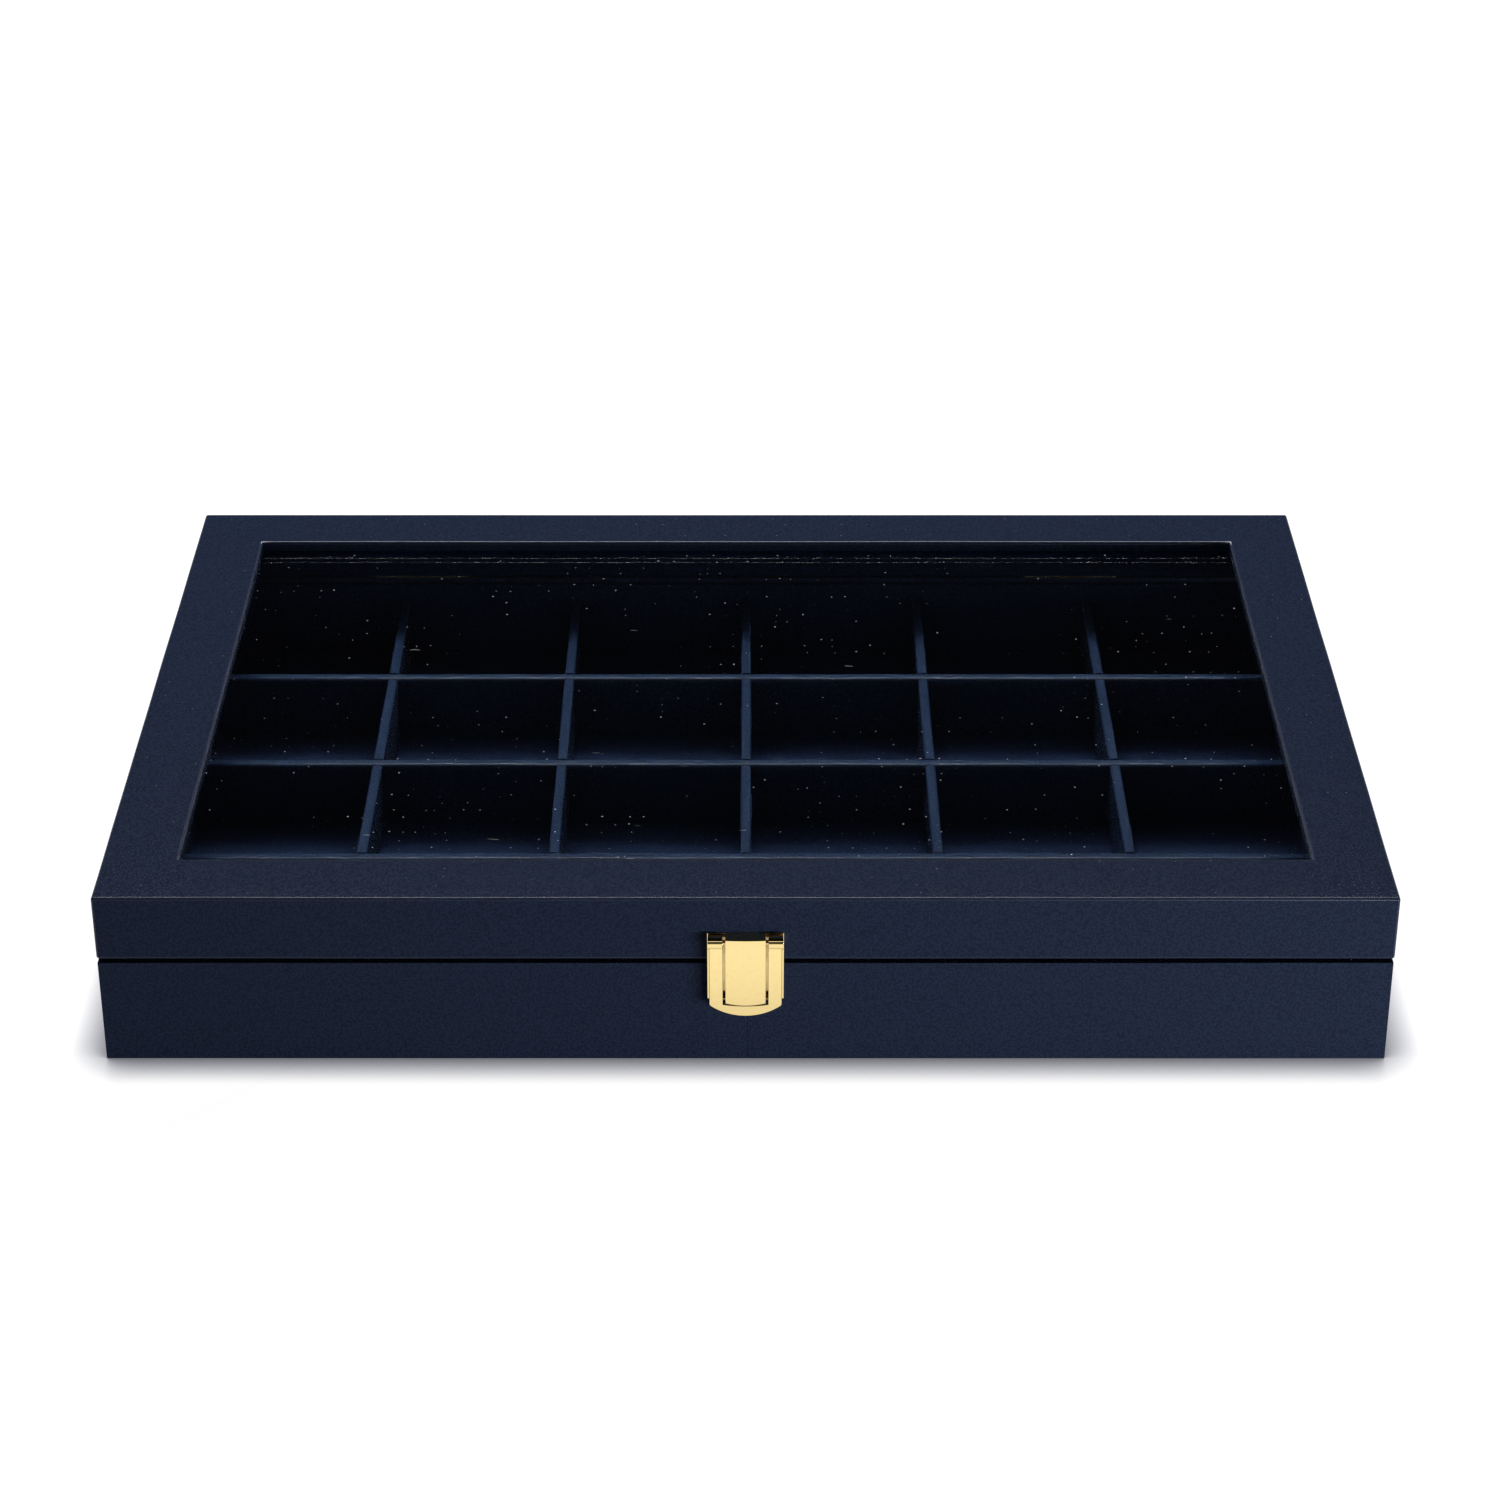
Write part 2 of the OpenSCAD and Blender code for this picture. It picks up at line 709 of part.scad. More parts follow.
module latch_pin() {
    color(gilt) translate([0, latch_y, latch_z]) rod_x(latch_pin_r, ear_w - 2 * pin_end_gap);
}

// Outline of the flap in X and Z, drawn in by inset from its outer edge
module flap_outline(inset) {
    half = flap_w / 2 - inset;
    arc_r = bow_r - inset;
    arc_z = flap_z + bow_r;
    intersection() {
        translate([-half, flap_z]) square([2 * half, flap_len]);
        union() {
            translate([0, arc_z]) circle(arc_r, $fn = 180);
            translate([-half, arc_z - sqrt(arc_r * arc_r - half * half)]) square([2 * half, flap_len]);
        }
    }
}

// Space between the flap's arms, with its slightly round lower end
module slot_outline() {
    slot_z = flap_z + bow_h;
    intersection() {
        translate([-slot_half, slot_z - past]) square([2 * slot_half, flap_len + 2 * past]);
        union() {
            translate([0, slot_z + bow_inner_r]) circle(bow_inner_r, $fn = 240);
            translate([-slot_half, slot_z + bow_inner_r]) square([2 * slot_half, past]);
        }
    }
}

// Swinging flap: a U of sheet with a turned rim, a snap ridge behind the bow and two ears on the pin
module latch_flap() {
    ear_len = ear_w / 2 - slot_half;
    color(gilt) difference() {
        union() {
            pressed(flap_y + sheet_t, sheet_t) difference() {
                flap_outline(0);
                slot_outline();
            }
            pressed(flap_back_y, flap_depth) difference() {
                flap_outline(0);
                flap_outline(rim_t);
            }
            span([-slot_half, flap_y, flap_z + bow_h - ridge_drop - ridge_h],
                [slot_half, flap_back_y, flap_z + bow_h - ridge_drop]);
            for (side = [-1, 1]) translate([side * (slot_half + ear_len / 2), latch_y, latch_z]) {
                rod_x(ear_r, ear_len);
                span([-ear_len / 2, -heel_front, 0], [ear_len / 2, heel_back, ear_r + heel_up]);
            }
        }
        translate([0, latch_y, latch_z]) rod_x(latch_pin_r + pin_play, ear_w + 2 * past);
    }
}

base_wrap();
base_front_board();
base_back_board();
base_left_board();
base_right_board();
base_bottom_board();
underside_felt();
floor_pad();
base_front_lining();
base_back_lining();
base_left_lining();
base_right_lining();
front_long_divider();
middle_long_divider();
back_long_divider();
short_divider_1();
short_divider_2();
short_divider_3();
short_divider_4();
short_divider_5();
left_hinge_base_leaf();
right_hinge_base_leaf();
left_hinge_pin();
right_hinge_pin();
base_hinge_screws();
latch_keeper();
keeper_nails();
lid_wrap();
lid_front_board();
lid_back_board();
lid_left_board();
lid_right_board();
lid_front_rail();
lid_back_rail();
lid_left_rail();
lid_right_rail();
glass_pane();
lid_front_lining();
lid_back_lining();
lid_left_lining();
lid_right_lining();
left_hinge_lid_leaf();
right_hinge_lid_leaf();
lid_hinge_screws();
latch_plate();
latch_pin();
latch_plate_nails();
latch_flap();
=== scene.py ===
# %% [markdown]
# # A glass-lidded display box, dressed in Blender
# The box is a shallow tray with a grid of dividers, under a hinged lid that holds a pane of glass. Boards
# give it its shape, and nearly all that shows is one thin skin of navy leatherette glued over them.
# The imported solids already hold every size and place. This lesson loads them as a fixed frame, and then
# makes what a ruler can't give: soft covers, pressed metal, and finishes built from nodes.

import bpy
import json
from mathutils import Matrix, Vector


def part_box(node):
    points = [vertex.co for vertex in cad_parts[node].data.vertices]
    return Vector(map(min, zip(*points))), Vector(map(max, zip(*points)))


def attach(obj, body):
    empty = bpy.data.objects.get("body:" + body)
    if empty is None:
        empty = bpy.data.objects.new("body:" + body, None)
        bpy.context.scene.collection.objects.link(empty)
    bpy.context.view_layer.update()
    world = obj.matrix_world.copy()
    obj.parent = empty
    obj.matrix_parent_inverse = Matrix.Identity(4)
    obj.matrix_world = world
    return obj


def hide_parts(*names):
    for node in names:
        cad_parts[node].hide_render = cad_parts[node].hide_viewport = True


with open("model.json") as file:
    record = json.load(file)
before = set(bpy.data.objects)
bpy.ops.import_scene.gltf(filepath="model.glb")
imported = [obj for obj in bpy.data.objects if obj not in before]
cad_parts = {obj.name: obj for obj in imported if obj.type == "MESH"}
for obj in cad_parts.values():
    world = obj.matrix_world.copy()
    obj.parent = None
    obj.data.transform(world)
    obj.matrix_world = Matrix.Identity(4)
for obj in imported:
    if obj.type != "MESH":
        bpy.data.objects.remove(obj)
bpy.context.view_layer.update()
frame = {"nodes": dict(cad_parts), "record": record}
print("solids:", len(frame["nodes"]))

# %% Tools from Blender and Python
import json
from math import pi, radians, sqrt

import bmesh
import bpy
from mathutils import Matrix, Vector, noise

MM = 0.001
scene = bpy.context.scene
print("one millimetre is", MM, "of Blender's units")

# %% [markdown]
# ## Reading sizes off the frame
# A maker measures the boards before cutting the covering. Here the boxes of a few solids give the same
# measures, so that a change of size in the solids carries through to every piece below. Only what a box
# can't tell, such as the width of the lid's frame, is written down again.

# %% Heights and half widths
base_low, base_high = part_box("base_wrap")
lid_low, lid_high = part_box("lid_wrap")
hollow_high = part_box("base_bottom_board")[1]
pane_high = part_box("glass_pane")[1]
FRAME_W = 21 * MM
WRAP_T = 0.8 * MM
TURN_IN = 12 * MM
window_x = lid_high.x - FRAME_W
window_y = lid_high.y - FRAME_W
print(f"base {2 * base_high.x / MM:.1f} mm wide, lid {2 * lid_high.x / MM:.1f} mm wide")
print(f"window {2 * window_x / MM:.0f} x {2 * window_y / MM:.0f} mm")

# %% [markdown]
# ## The camera
# The photograph was taken from the front with a long lens, looking down at about 29 degrees. A camera
# fitted to the corners of the lid, the base and the window gives the place, tilt and lens below. A long
# lens from a metre away keeps the sides of the box nearly parallel, as the picture shows them.

# %% Place the camera
CAMERA_PLACE = (0.0012, -0.9635, 0.5623)
CAMERA_DOWN = radians(28.906)
LENS_MM = 88.62
lens = bpy.data.cameras.new("camera")
lens.lens = LENS_MM
lens.sensor_width = 36
camera = bpy.data.objects.new("camera", lens)
camera.location = CAMERA_PLACE
camera.rotation_euler = (pi / 2 - CAMERA_DOWN, 0, 0)
scene.collection.objects.link(camera)
scene.camera = camera
print(f"camera {Vector(CAMERA_PLACE).length:.2f} m from the box, lens {LENS_MM} mm")

# %% [markdown]
# ## Helpers for nodes
# A finish is a small network of nodes. Adding each node, setting it and wiring it takes three or four
# lines in plain Blender, and a finish has a dozen of them. The first helper adds one node, sets its
# options, and fills its inputs either with a value or with a wire from another node's output. The others
# use it for the nodes that nearly every finish has.

# %% Add nodes and wire them
def node(tree, kind, inputs=None, **options):
    """Adds a node to a tree. Each input is given a value, or an output socket to be wired to."""
    made = tree.nodes.new(kind)
    for option, value in options.items():
        setattr(made, option, value)
    for name, value in (inputs or {}).items():
        if isinstance(value, bpy.types.NodeSocket):
            tree.links.new(value, made.inputs[name])
        else:
            made.inputs[name].default_value = value
    return made


def maths(tree, operation, first, second=0.0):
    """The result of a Math node."""
    return node(tree, "ShaderNodeMath", {0: first, 1: second}, operation=operation).outputs[0]


def ramped(tree, value, low, high, to_low=0.0, to_high=1.0):
    """Value carried smoothly from the span low to high onto the span to_low to to_high."""
    given = {"Value": value, "From Min": low, "From Max": high, "To Min": to_low, "To Max": to_high}
    return node(tree, "ShaderNodeMapRange", given, interpolation_type="SMOOTHSTEP").outputs["Result"]


def mixed(tree, share, first, second):
    """Two colours mixed by share, from 0, all first, to 1, all second."""
    made = node(tree, "ShaderNodeMix", data_type="RGBA")
    for place, value in ((0, share), (6, first), (7, second)):
        if isinstance(value, bpy.types.NodeSocket):
            tree.links.new(value, made.inputs[place])
        else:
            made.inputs[place].default_value = value
    return made.outputs[2]


def here(tree):
    """The place of the point being shaded, in its object's own coordinates."""
    return node(tree, "ShaderNodeTexCoord").outputs["Object"]


def clouds(tree, place, per_metre, detail, output="Fac"):
    """Noise over a place, with about so many clouds to the metre."""
    given = {"Vector": place, "Scale": per_metre, "Detail": detail}
    return node(tree, "ShaderNodeTexNoise", given).outputs[output]


def shifted(tree, place, colour, reach):
    """A place moved by a colour that stands for a direction, by reach at most."""
    given = {0: colour, 1: (reach,) * 3, 2: place}
    return node(tree, "ShaderNodeVectorMath", given, operation="MULTIPLY_ADD").outputs[0]


def bumped(tree, height, depth):
    """A normal tilted by a height from 0 to 1 that stands for depth."""
    return node(tree, "ShaderNodeBump", {"Height": height, "Strength": 1.0, "Distance": depth}).outputs[0]


def add_surface(tree, end, **sockets):
    """A Principled shader as a material's surface. Sockets are named with _ for a space."""
    inputs = {label.replace("_", " "): value for label, value in sockets.items()}
    tree.links.new(node(tree, "ShaderNodeBsdfPrincipled", inputs).outputs[0], end.inputs["Surface"])


print("helpers: node, maths, ramped, mixed, here, clouds, shifted, bumped, add_surface")

# %% [markdown]
# ## Effects that several finishes share
# Leather grain and settled dust turn up in more than one material, and worn plating on every fitting. A
# node group is the right home for such an effect: it is built once, has named inputs, and gives out only
# masks and heights. The shader itself stays in each material, where its gloss and colour can be read.

# %% Make an empty group
def new_group(name, inputs, outputs):
    """A node group with number sockets, as the tree, its input node and its output node."""
    tree = bpy.data.node_groups.new(name, "ShaderNodeTree")
    for label, value in inputs.items():
        socket = tree.interface.new_socket(name=label, in_out="INPUT", socket_type="NodeSocketFloat")
        socket.default_value = value
    for label in outputs:
        tree.interface.new_socket(name=label, in_out="OUTPUT", socket_type="NodeSocketFloat")
    return tree, tree.nodes.new("NodeGroupInput"), tree.nodes.new("NodeGroupOutput")


def give_out(tree, end, **sockets):
    """Wires sockets to a group's outputs, by name."""
    for label, socket in sockets.items():
        tree.links.new(socket, end.inputs[label])


def from_group(tree, group, **values):
    """Places a group in a material with its own values, and returns its outputs."""
    made = tree.nodes.new("ShaderNodeGroup")
    made.node_tree = group
    for label, value in values.items():
        made.inputs[label].default_value = value
    return made.outputs


print("helpers: new_group, give_out, from_group")

# %% [markdown]
# ### Leather grain
# The covering is a coated cloth embossed with a fine, uneven pebble, three pebbles to two millimetres.
# Voronoi cells are a good pebble, but alone they look like tiles, so the place that they read is first
# bent by noise. A much wider noise stands for the slight swells of skin glued by hand, and a third, between
# the two, for patches that are a little more or less glossy.

# %% Build the grain group
PEBBLES_PER_METRE = 1500
PEBBLE_BEND = 0.35 * MM
BENDS_PER_METRE = 1400
PORES_PER_METRE = 5200
SWELLS_PER_METRE = 34
PATCHES_PER_METRE = 120


def blend(tree, first, second, share):
    """Two values added, share of the first and the rest of the second."""
    mine = maths(tree, "MULTIPLY", first, share)
    return maths(tree, "ADD", mine, maths(tree, "MULTIPLY", second, 1 - share))


def build_grain():
    tree, start, end = new_group("leather_grain", {"Pebbles": PEBBLES_PER_METRE},
                                 ["Height", "Shade", "Gloss"])
    place = here(tree)
    bent = shifted(tree, place, clouds(tree, place, BENDS_PER_METRE, 2.0, "Color"), PEBBLE_BEND)
    given = {"Vector": bent, "Scale": start.outputs["Pebbles"], "Smoothness": 0.4}
    cells = node(tree, "ShaderNodeTexVoronoi", given, feature="SMOOTH_F1")
    pebble = ramped(tree, cells.outputs["Distance"], 0.05, 0.75, 1.0, 0.0)
    pores = clouds(tree, place, PORES_PER_METRE, 3.0)
    grain = blend(tree, pebble, pores, 0.7)
    swell = maths(tree, "MULTIPLY", clouds(tree, place, SWELLS_PER_METRE, 2.0), 0.3)
    gloss = blend(tree, clouds(tree, place, PATCHES_PER_METRE, 4.0), pores, 0.6)
    give_out(tree, end, Height=maths(tree, "ADD", grain, swell), Shade=pebble, Gloss=gloss)
    return tree


LEATHER_GRAIN = build_grain()
print("group:", LEATHER_GRAIN.name, "with", len(LEATHER_GRAIN.nodes), "nodes")

# %% [markdown]
# ### Settled dust
# A dark, glossy box shows every speck. Specks are Voronoi cells again, but flat ones, because dust lies on
# level faces. Only a few of the cells are kept, more where the dust has drifted together, and of each only
# a small dot at its middle. Hairs are the same dots in a space that noise has bent and a Mapping node has
# squeezed along one direction, so that each dot is drawn out into a short curl.

# %% Build the dust group
DRIFTS_PER_METRE = 18
SPECKS_PER_METRE = 240
SPECK_SIZE = 0.055
HAIRS_PER_METRE = 130
HAIR_SIZE = 0.2
HAIR_SHARE = 0.0012
HAIR_STRETCH = 14
HAIR_TURNS = (0.5, 2.1)
CURL_REACH = 4 * MM
CURLS_PER_METRE = 160


def dots(tree, place, per_metre, size, share):
    """Dots of many sizes at random places, seen from above: a share of the cells holds one."""
    given = {"Vector": place, "Scale": per_metre}
    cells = node(tree, "ShaderNodeTexVoronoi", given, voronoi_dimensions="2D")
    chance = node(tree, "ShaderNodeSeparateColor", {"Color": cells.outputs["Color"]}).outputs
    kept = maths(tree, "LESS_THAN", chance["Red"], share)
    reach = maths(tree, "MULTIPLY", maths(tree, "POWER", chance["Green"], 2.5), size)
    inside = maths(tree, "LESS_THAN", cells.outputs["Distance"], reach)
    return maths(tree, "MULTIPLY", inside, kept)


def build_dust():
    tree, start, end = new_group("settled_dust", {"Specks": 0.5, "Fibres": 0.5}, ["Mask"])
    coords = node(tree, "ShaderNodeTexCoord").outputs
    place = coords["Object"]
    gathered = ramped(tree, clouds(tree, place, DRIFTS_PER_METRE, 1.0), 0.38, 0.62, 0.08, 0.6)
    specks = dots(tree, place, SPECKS_PER_METRE, SPECK_SIZE, gathered)
    specks = maths(tree, "MULTIPLY", specks, start.outputs["Specks"])
    curled = shifted(tree, place, clouds(tree, place, CURLS_PER_METRE, 0.0, "Color"), CURL_REACH)
    hairs = []
    for angle in HAIR_TURNS:
        given = {"Vector": curled, "Rotation": (0, 0, angle), "Scale": (1, HAIR_STRETCH, 1)}
        squeezed = node(tree, "ShaderNodeMapping", given).outputs[0]
        hairs.append(dots(tree, squeezed, HAIRS_PER_METRE, HAIR_SIZE, HAIR_SHARE))
    fibres = maths(tree, "MULTIPLY", maths(tree, "MAXIMUM", *hairs), start.outputs["Fibres"])
    up = node(tree, "ShaderNodeSeparateXYZ", {0: coords["Normal"]}).outputs["Z"]
    level = maths(tree, "GREATER_THAN", up, 0.9)
    give_out(tree, end, Mask=maths(tree, "MULTIPLY", maths(tree, "MAXIMUM", specks, fibres), level))
    return tree


SETTLED_DUST = build_dust()
print("group:", SETTLED_DUST.name, "with", len(SETTLED_DUST.nodes), "nodes")

# %% [markdown]
# ### Plated metal
# The latch and hinges are thin brass pressings with a bright plating. Polish is never perfect: the sheet
# keeps a faint waviness from the press, and handling leaves hairlines and duller patches. The group gives
# a height for the waviness, and a mask for where the shine has gone soft.

# %% Build the plating group
WAVES_PER_METRE = 260
HAIRLINES_PER_METRE = 9000
HAIRLINE_DRAW = 0.04
DULL_PER_METRE = 700


def build_plating():
    tree, start, end = new_group("worn_plating", {"Hairlines": 0.5}, ["Height", "Dull"])
    place = here(tree)
    press = clouds(tree, place, WAVES_PER_METRE, 1.0)
    drawn = node(tree, "ShaderNodeMapping", {"Vector": place, "Scale": (1, 1, HAIRLINE_DRAW)}).outputs[0]
    lines = ramped(tree, clouds(tree, drawn, HAIRLINES_PER_METRE, 2.0), 0.55, 0.75)
    lines = maths(tree, "MULTIPLY", lines, start.outputs["Hairlines"])
    patches = clouds(tree, place, DULL_PER_METRE, 4.0)
    give_out(tree, end, Height=maths(tree, "ADD", press, maths(tree, "MULTIPLY", lines, -0.02)),
             Dull=maths(tree, "MAXIMUM", ramped(tree, patches, 0.45, 0.8), lines))
    return tree


WORN_PLATING = build_plating()
print("group:", WORN_PLATING.name, "with", len(WORN_PLATING.nodes), "nodes")

# %% [markdown]
# ## The finishes
# Each finish below is one material with one Principled shader. Whatever is the same all over is set on
# the shader's own socket, and only what changes over the surface comes through wires.
# ### Leatherette
# The outside and the dividers share a recipe. The colour is a deep navy, darkened in the creases between
# pebbles as painted shade, and a little paler where an edge rubs. Edges are known by an attribute called
# worn, which the pieces carry on their rounded corners. There a thin coat stands for the burnish that
# handling gives, and below nought, as along a seam, the attribute paints the seam's groove black as
# painted shade. A low specular level keeps the coating satin.

# %% Leatherette for the case, the dividers and the linings
GRAIN_HEIGHT = 0.035 * MM
CREASE_PAINTED_SHADE = 0.7
RUB_LIFT = 1.5
RUB_SHOWS = 0.4
SEAM_SHADE_SHOWS = 0.8
SEAM_PAINTED_SHADE = (0, 0, 0, 1)
DUST_GREY = (0.32, 0.34, 0.38, 1)
GLOSS_DRIFT = 0.015
BURNISH = 0.4


def new_material(name):
    """An empty material, as the material, its tree and its output node."""
    made = bpy.data.materials.new(name)
    made.use_nodes = True
    made.node_tree.nodes.clear()
    return made, made.node_tree, made.node_tree.nodes.new("ShaderNodeOutputMaterial")


def leatherette(name, colour, rough, specular, dust):
    """Embossed coated cloth. Dust is how much of the settled dust shows."""
    made, tree, end = new_material(name)
    grain = from_group(tree, LEATHER_GRAIN)
    settled = from_group(tree, SETTLED_DUST, Specks=dust, Fibres=dust * 0.4)
    # The navy is darkened between the pebbles: painted shade in the creases of the grain.
    crease_painted_shade = tuple(CREASE_PAINTED_SHADE * c for c in colour[:3]) + (1,)
    rubbed = tuple(RUB_LIFT * c + 0.004 for c in colour[:3]) + (1,)
    tint = mixed(tree, ramped(tree, grain["Shade"], 0.0, 0.6), crease_painted_shade, colour)
    edge = node(tree, "ShaderNodeAttribute", attribute_name="worn").outputs["Fac"]
    worn = maths(tree, "MULTIPLY", edge, ramped(tree, grain["Gloss"], 0.35, 0.65))
    tint = mixed(tree, maths(tree, "MULTIPLY", worn, RUB_SHOWS), tint, rubbed)
    # Where worn is below nought, along the seam, the colour goes black: painted shade in the seam's groove.
    tint = mixed(tree, maths(tree, "MULTIPLY", edge, -SEAM_SHADE_SHOWS), tint, SEAM_PAINTED_SHADE)
    tint = mixed(tree, settled["Mask"], tint, DUST_GREY)
    gloss = ramped(tree, grain["Gloss"], 0.3, 0.7, rough + GLOSS_DRIFT, rough - GLOSS_DRIFT)
    add_surface(tree, end, Base_Color=tint, Roughness=gloss, Specular_IOR_Level=specular,
                Normal=bumped(tree, grain["Height"], GRAIN_HEIGHT),
                Coat_Weight=maths(tree, "MULTIPLY", edge, BURNISH), Coat_Roughness=0.25)
    return made


CASE_LEATHER = leatherette("case_leatherette", (0.0148, 0.0218, 0.045, 1), 0.17, 0.014, 0.3)
DIVIDER_LEATHER = leatherette("divider_leatherette", (0.011, 0.019, 0.042, 1), 0.18, 0.01, 0.2)
LINING_LEATHER = leatherette("lining_leatherette", (0.010, 0.017, 0.040, 1), 0.2, 0.01, 0.2)
print("materials:", CASE_LEATHER.name, DIVIDER_LEATHER.name, LINING_LEATHER.name)

# %% [markdown]
# ### Gilt plating
# Pale gold plating is a metal, so its colour is the colour of what it mirrors times its own. Polished
# flat, it shows the white table as pale straw and a dark room as deep brown. Roughness rises a little
# where the plating is dull. In the slots and hollows, where the Ambient Occlusion node finds little open
# air, the plating is painted amber and less metal, as painted shade. The pressed tops of the ears' heels,
# marked by an attribute, are painted amber too: a painted reflection of the dark room.

# %% Gilt
RECESS_REACH = 6 * MM
PRESS_WAVE = 0.02 * MM
SHADE_AND_REFLECTION_AMBER = (0.36, 0.16, 0.015, 1)


def gilt_plating(name, colour, rough):
    """Polished plating, duller in patches, painted amber as shade in recesses and as a reflection on the
    heel tops.
    """
    made, tree, end = new_material(name)
    worn = from_group(tree, WORN_PLATING, Hairlines=0.25)
    toned = tuple(c * f for c, f in zip(colour[:3], (0.93, 0.86, 0.7))) + (1,)
    tint = mixed(tree, maths(tree, "MULTIPLY", worn["Dull"], 0.3), colour, toned)
    # Where little open air is found, the plating turns amber and loses metal: painted shade.
    open_air = node(tree, "ShaderNodeAmbientOcclusion", {"Distance": RECESS_REACH}, samples=8).outputs["AO"]
    painted_recess_shade = ramped(tree, open_air, 0.15, 0.5, 0.65, 0.0)
    # The marked heel tops are painted amber as well: a painted reflection.
    painted_reflection = node(tree, "ShaderNodeAttribute", attribute_name="painted_reflection").outputs["Fac"]
    painted_shade_and_reflection = maths(tree, "MAXIMUM", painted_recess_shade, painted_reflection)
    tint = mixed(tree, painted_shade_and_reflection, tint, SHADE_AND_REFLECTION_AMBER)
    metal = maths(tree, "SUBTRACT", 1.0, painted_shade_and_reflection)
    gloss = maths(tree, "MULTIPLY_ADD", worn["Dull"], 0.08)
    gloss.node.inputs[2].default_value = rough
    add_surface(tree, end, Base_Color=tint, Metallic=metal, Roughness=gloss,
                Normal=bumped(tree, worn["Height"], PRESS_WAVE))
    return made


GILT = gilt_plating("gilt", (0.85, 0.665, 0.305, 1), 0.09)
print("material:", GILT.name)

# %% [markdown]
# ### Glass
# The pane is clear float glass. A Principled shader with full transmission bends and mirrors light as
# glass does, but it stops the rays that lamps send straight through, which would leave the tray black.
# So for shadow rays alone the pane is swapped for a nearly clear Transparent shader. Dust is a second,
# matt shader, mixed in where the dust group says. Backfacing takes it away where a ray meets the pane's
# skin from within, so that each speck is seen once.

# %% Glass with settled dust
def dusty_glass(name):
    """Clear glass that lets the lamps through, with dust on it."""
    made, tree, end = new_material(name)
    clear = node(tree, "ShaderNodeBsdfPrincipled", {"Base Color": (0.96, 0.985, 0.98, 1), "Roughness": 0.0,
                                                    "IOR": 1.48, "Transmission Weight": 1.0})
    dust = node(tree, "ShaderNodeBsdfPrincipled", {"Base Color": (0.5, 0.52, 0.56, 1), "Roughness": 0.9,
                                                   "Specular IOR Level": 0.1})
    settled = from_group(tree, SETTLED_DUST, Specks=0.8, Fibres=0.5)
    beneath = node(tree, "ShaderNodeNewGeometry").outputs["Backfacing"]
    share = maths(tree, "SUBTRACT", settled["Mask"], beneath)
    share.node.use_clamp = True
    surface = node(tree, "ShaderNodeMixShader", {0: share, 1: clear.outputs[0], 2: dust.outputs[0]})
    through = node(tree, "ShaderNodeBsdfTransparent", {"Color": (0.9, 0.93, 0.93, 1)})
    shadow = node(tree, "ShaderNodeLightPath").outputs["Is Shadow Ray"]
    both = node(tree, "ShaderNodeMixShader", {0: shadow, 1: surface.outputs[0], 2: through.outputs[0]})
    tree.links.new(both.outputs[0], end.inputs["Surface"])
    return made


GLASS = dusty_glass("dusty_glass")
print("material:", GLASS.name)

# %% [markdown]
# ### Board and felt
# Bare fibreboard shows only if the box is taken apart: pressed wood fibres, warm brown, matt and finely
# flecked. The rails under the window's frame show through the edge of the glass, so they are stained nearly
# black. The felt under the base is short and dull, with a soft pale sheen from fibres standing up.

# %% Fibreboard and felt
FLECKS_PER_METRE = 1600
FLECK_HEIGHT = 0.08 * MM
FIBRES_PER_METRE = 2400
FIBRE_HEIGHT = 0.2 * MM


def fibreboard(name, deep, pale):
    """Pressed wood fibres, flecked between two colours."""
    made, tree, end = new_material(name)
    flat = node(tree, "ShaderNodeMapping", {"Vector": here(tree), "Scale": (1, 1, 6)}).outputs[0]
    flecks = clouds(tree, flat, FLECKS_PER_METRE, 5.0)
    add_surface(tree, end, Base_Color=mixed(tree, ramped(tree, flecks, 0.35, 0.65), deep, pale),
                Roughness=ramped(tree, flecks, 0.3, 0.7, 0.75, 0.9),
                Normal=bumped(tree, flecks, FLECK_HEIGHT), Specular_IOR_Level=0.2)
    return made


def short_felt(name):
    made, tree, end = new_material(name)
    fibres = clouds(tree, here(tree), FIBRES_PER_METRE, 6.0)
    fibres.node.inputs["Distortion"].default_value = 1.2
    tint = mixed(tree, ramped(tree, fibres, 0.3, 0.7), (0.006, 0.007, 0.01, 1), (0.022, 0.025, 0.032, 1))
    add_surface(tree, end, Base_Color=tint, Roughness=ramped(tree, fibres, 0.2, 0.8, 0.98, 0.85),
                Normal=bumped(tree, fibres, FIBRE_HEIGHT), Specular_IOR_Level=0.1,
                Sheen_Weight=0.3, Sheen_Roughness=0.5)
    return made


FIBREBOARD = fibreboard("fibreboard", (0.30, 0.17, 0.08, 1), (0.50, 0.32, 0.17, 1))
STAINED_BOARD = fibreboard("stained_fibreboard", (0.004, 0.005, 0.009, 1), (0.012, 0.014, 0.022, 1))
FELT = short_felt("short_felt")
print("materials:", FIBREBOARD.name, STAINED_BOARD.name, FELT.name)

# %% [markdown]
# ## Helpers for pieces
# Every new piece starts as a bmesh, Blender's editable mesh, and ends as an object that rides on a body.
# The steps in between repeat, so they have helpers: one scores a surface across, so that a long flat face
# has points to move, one sways those points a little, and one marks rounded edges as worn.

# %% Move, turn, score, sway, round and finish
SLIVER = 0.01 * MM
MERGE = 0.0001 * MM
SWAY_SEED = 1

# Without a seed the noise starts from the clock, and the coverings would sway differently each time.
noise.seed_set(SWAY_SEED)


def whole(bm):
    """All of a bmesh, as operators take it."""
    return bm.verts[:] + bm.edges[:] + bm.faces[:]


def points_of(result):
    """The points among what an operator made."""
    return [part for part in result["geom"] if isinstance(part, bmesh.types.BMVert)]


def move(bm, verts, by):
    bmesh.ops.translate(bm, verts=verts, vec=by)


def turn(bm, angle, axis, centre=(0, 0, 0)):
    """Turns all of a bmesh about an axis through a centre."""
    bmesh.ops.rotate(bm, verts=bm.verts, cent=centre, matrix=Matrix.Rotation(angle, 3, axis))


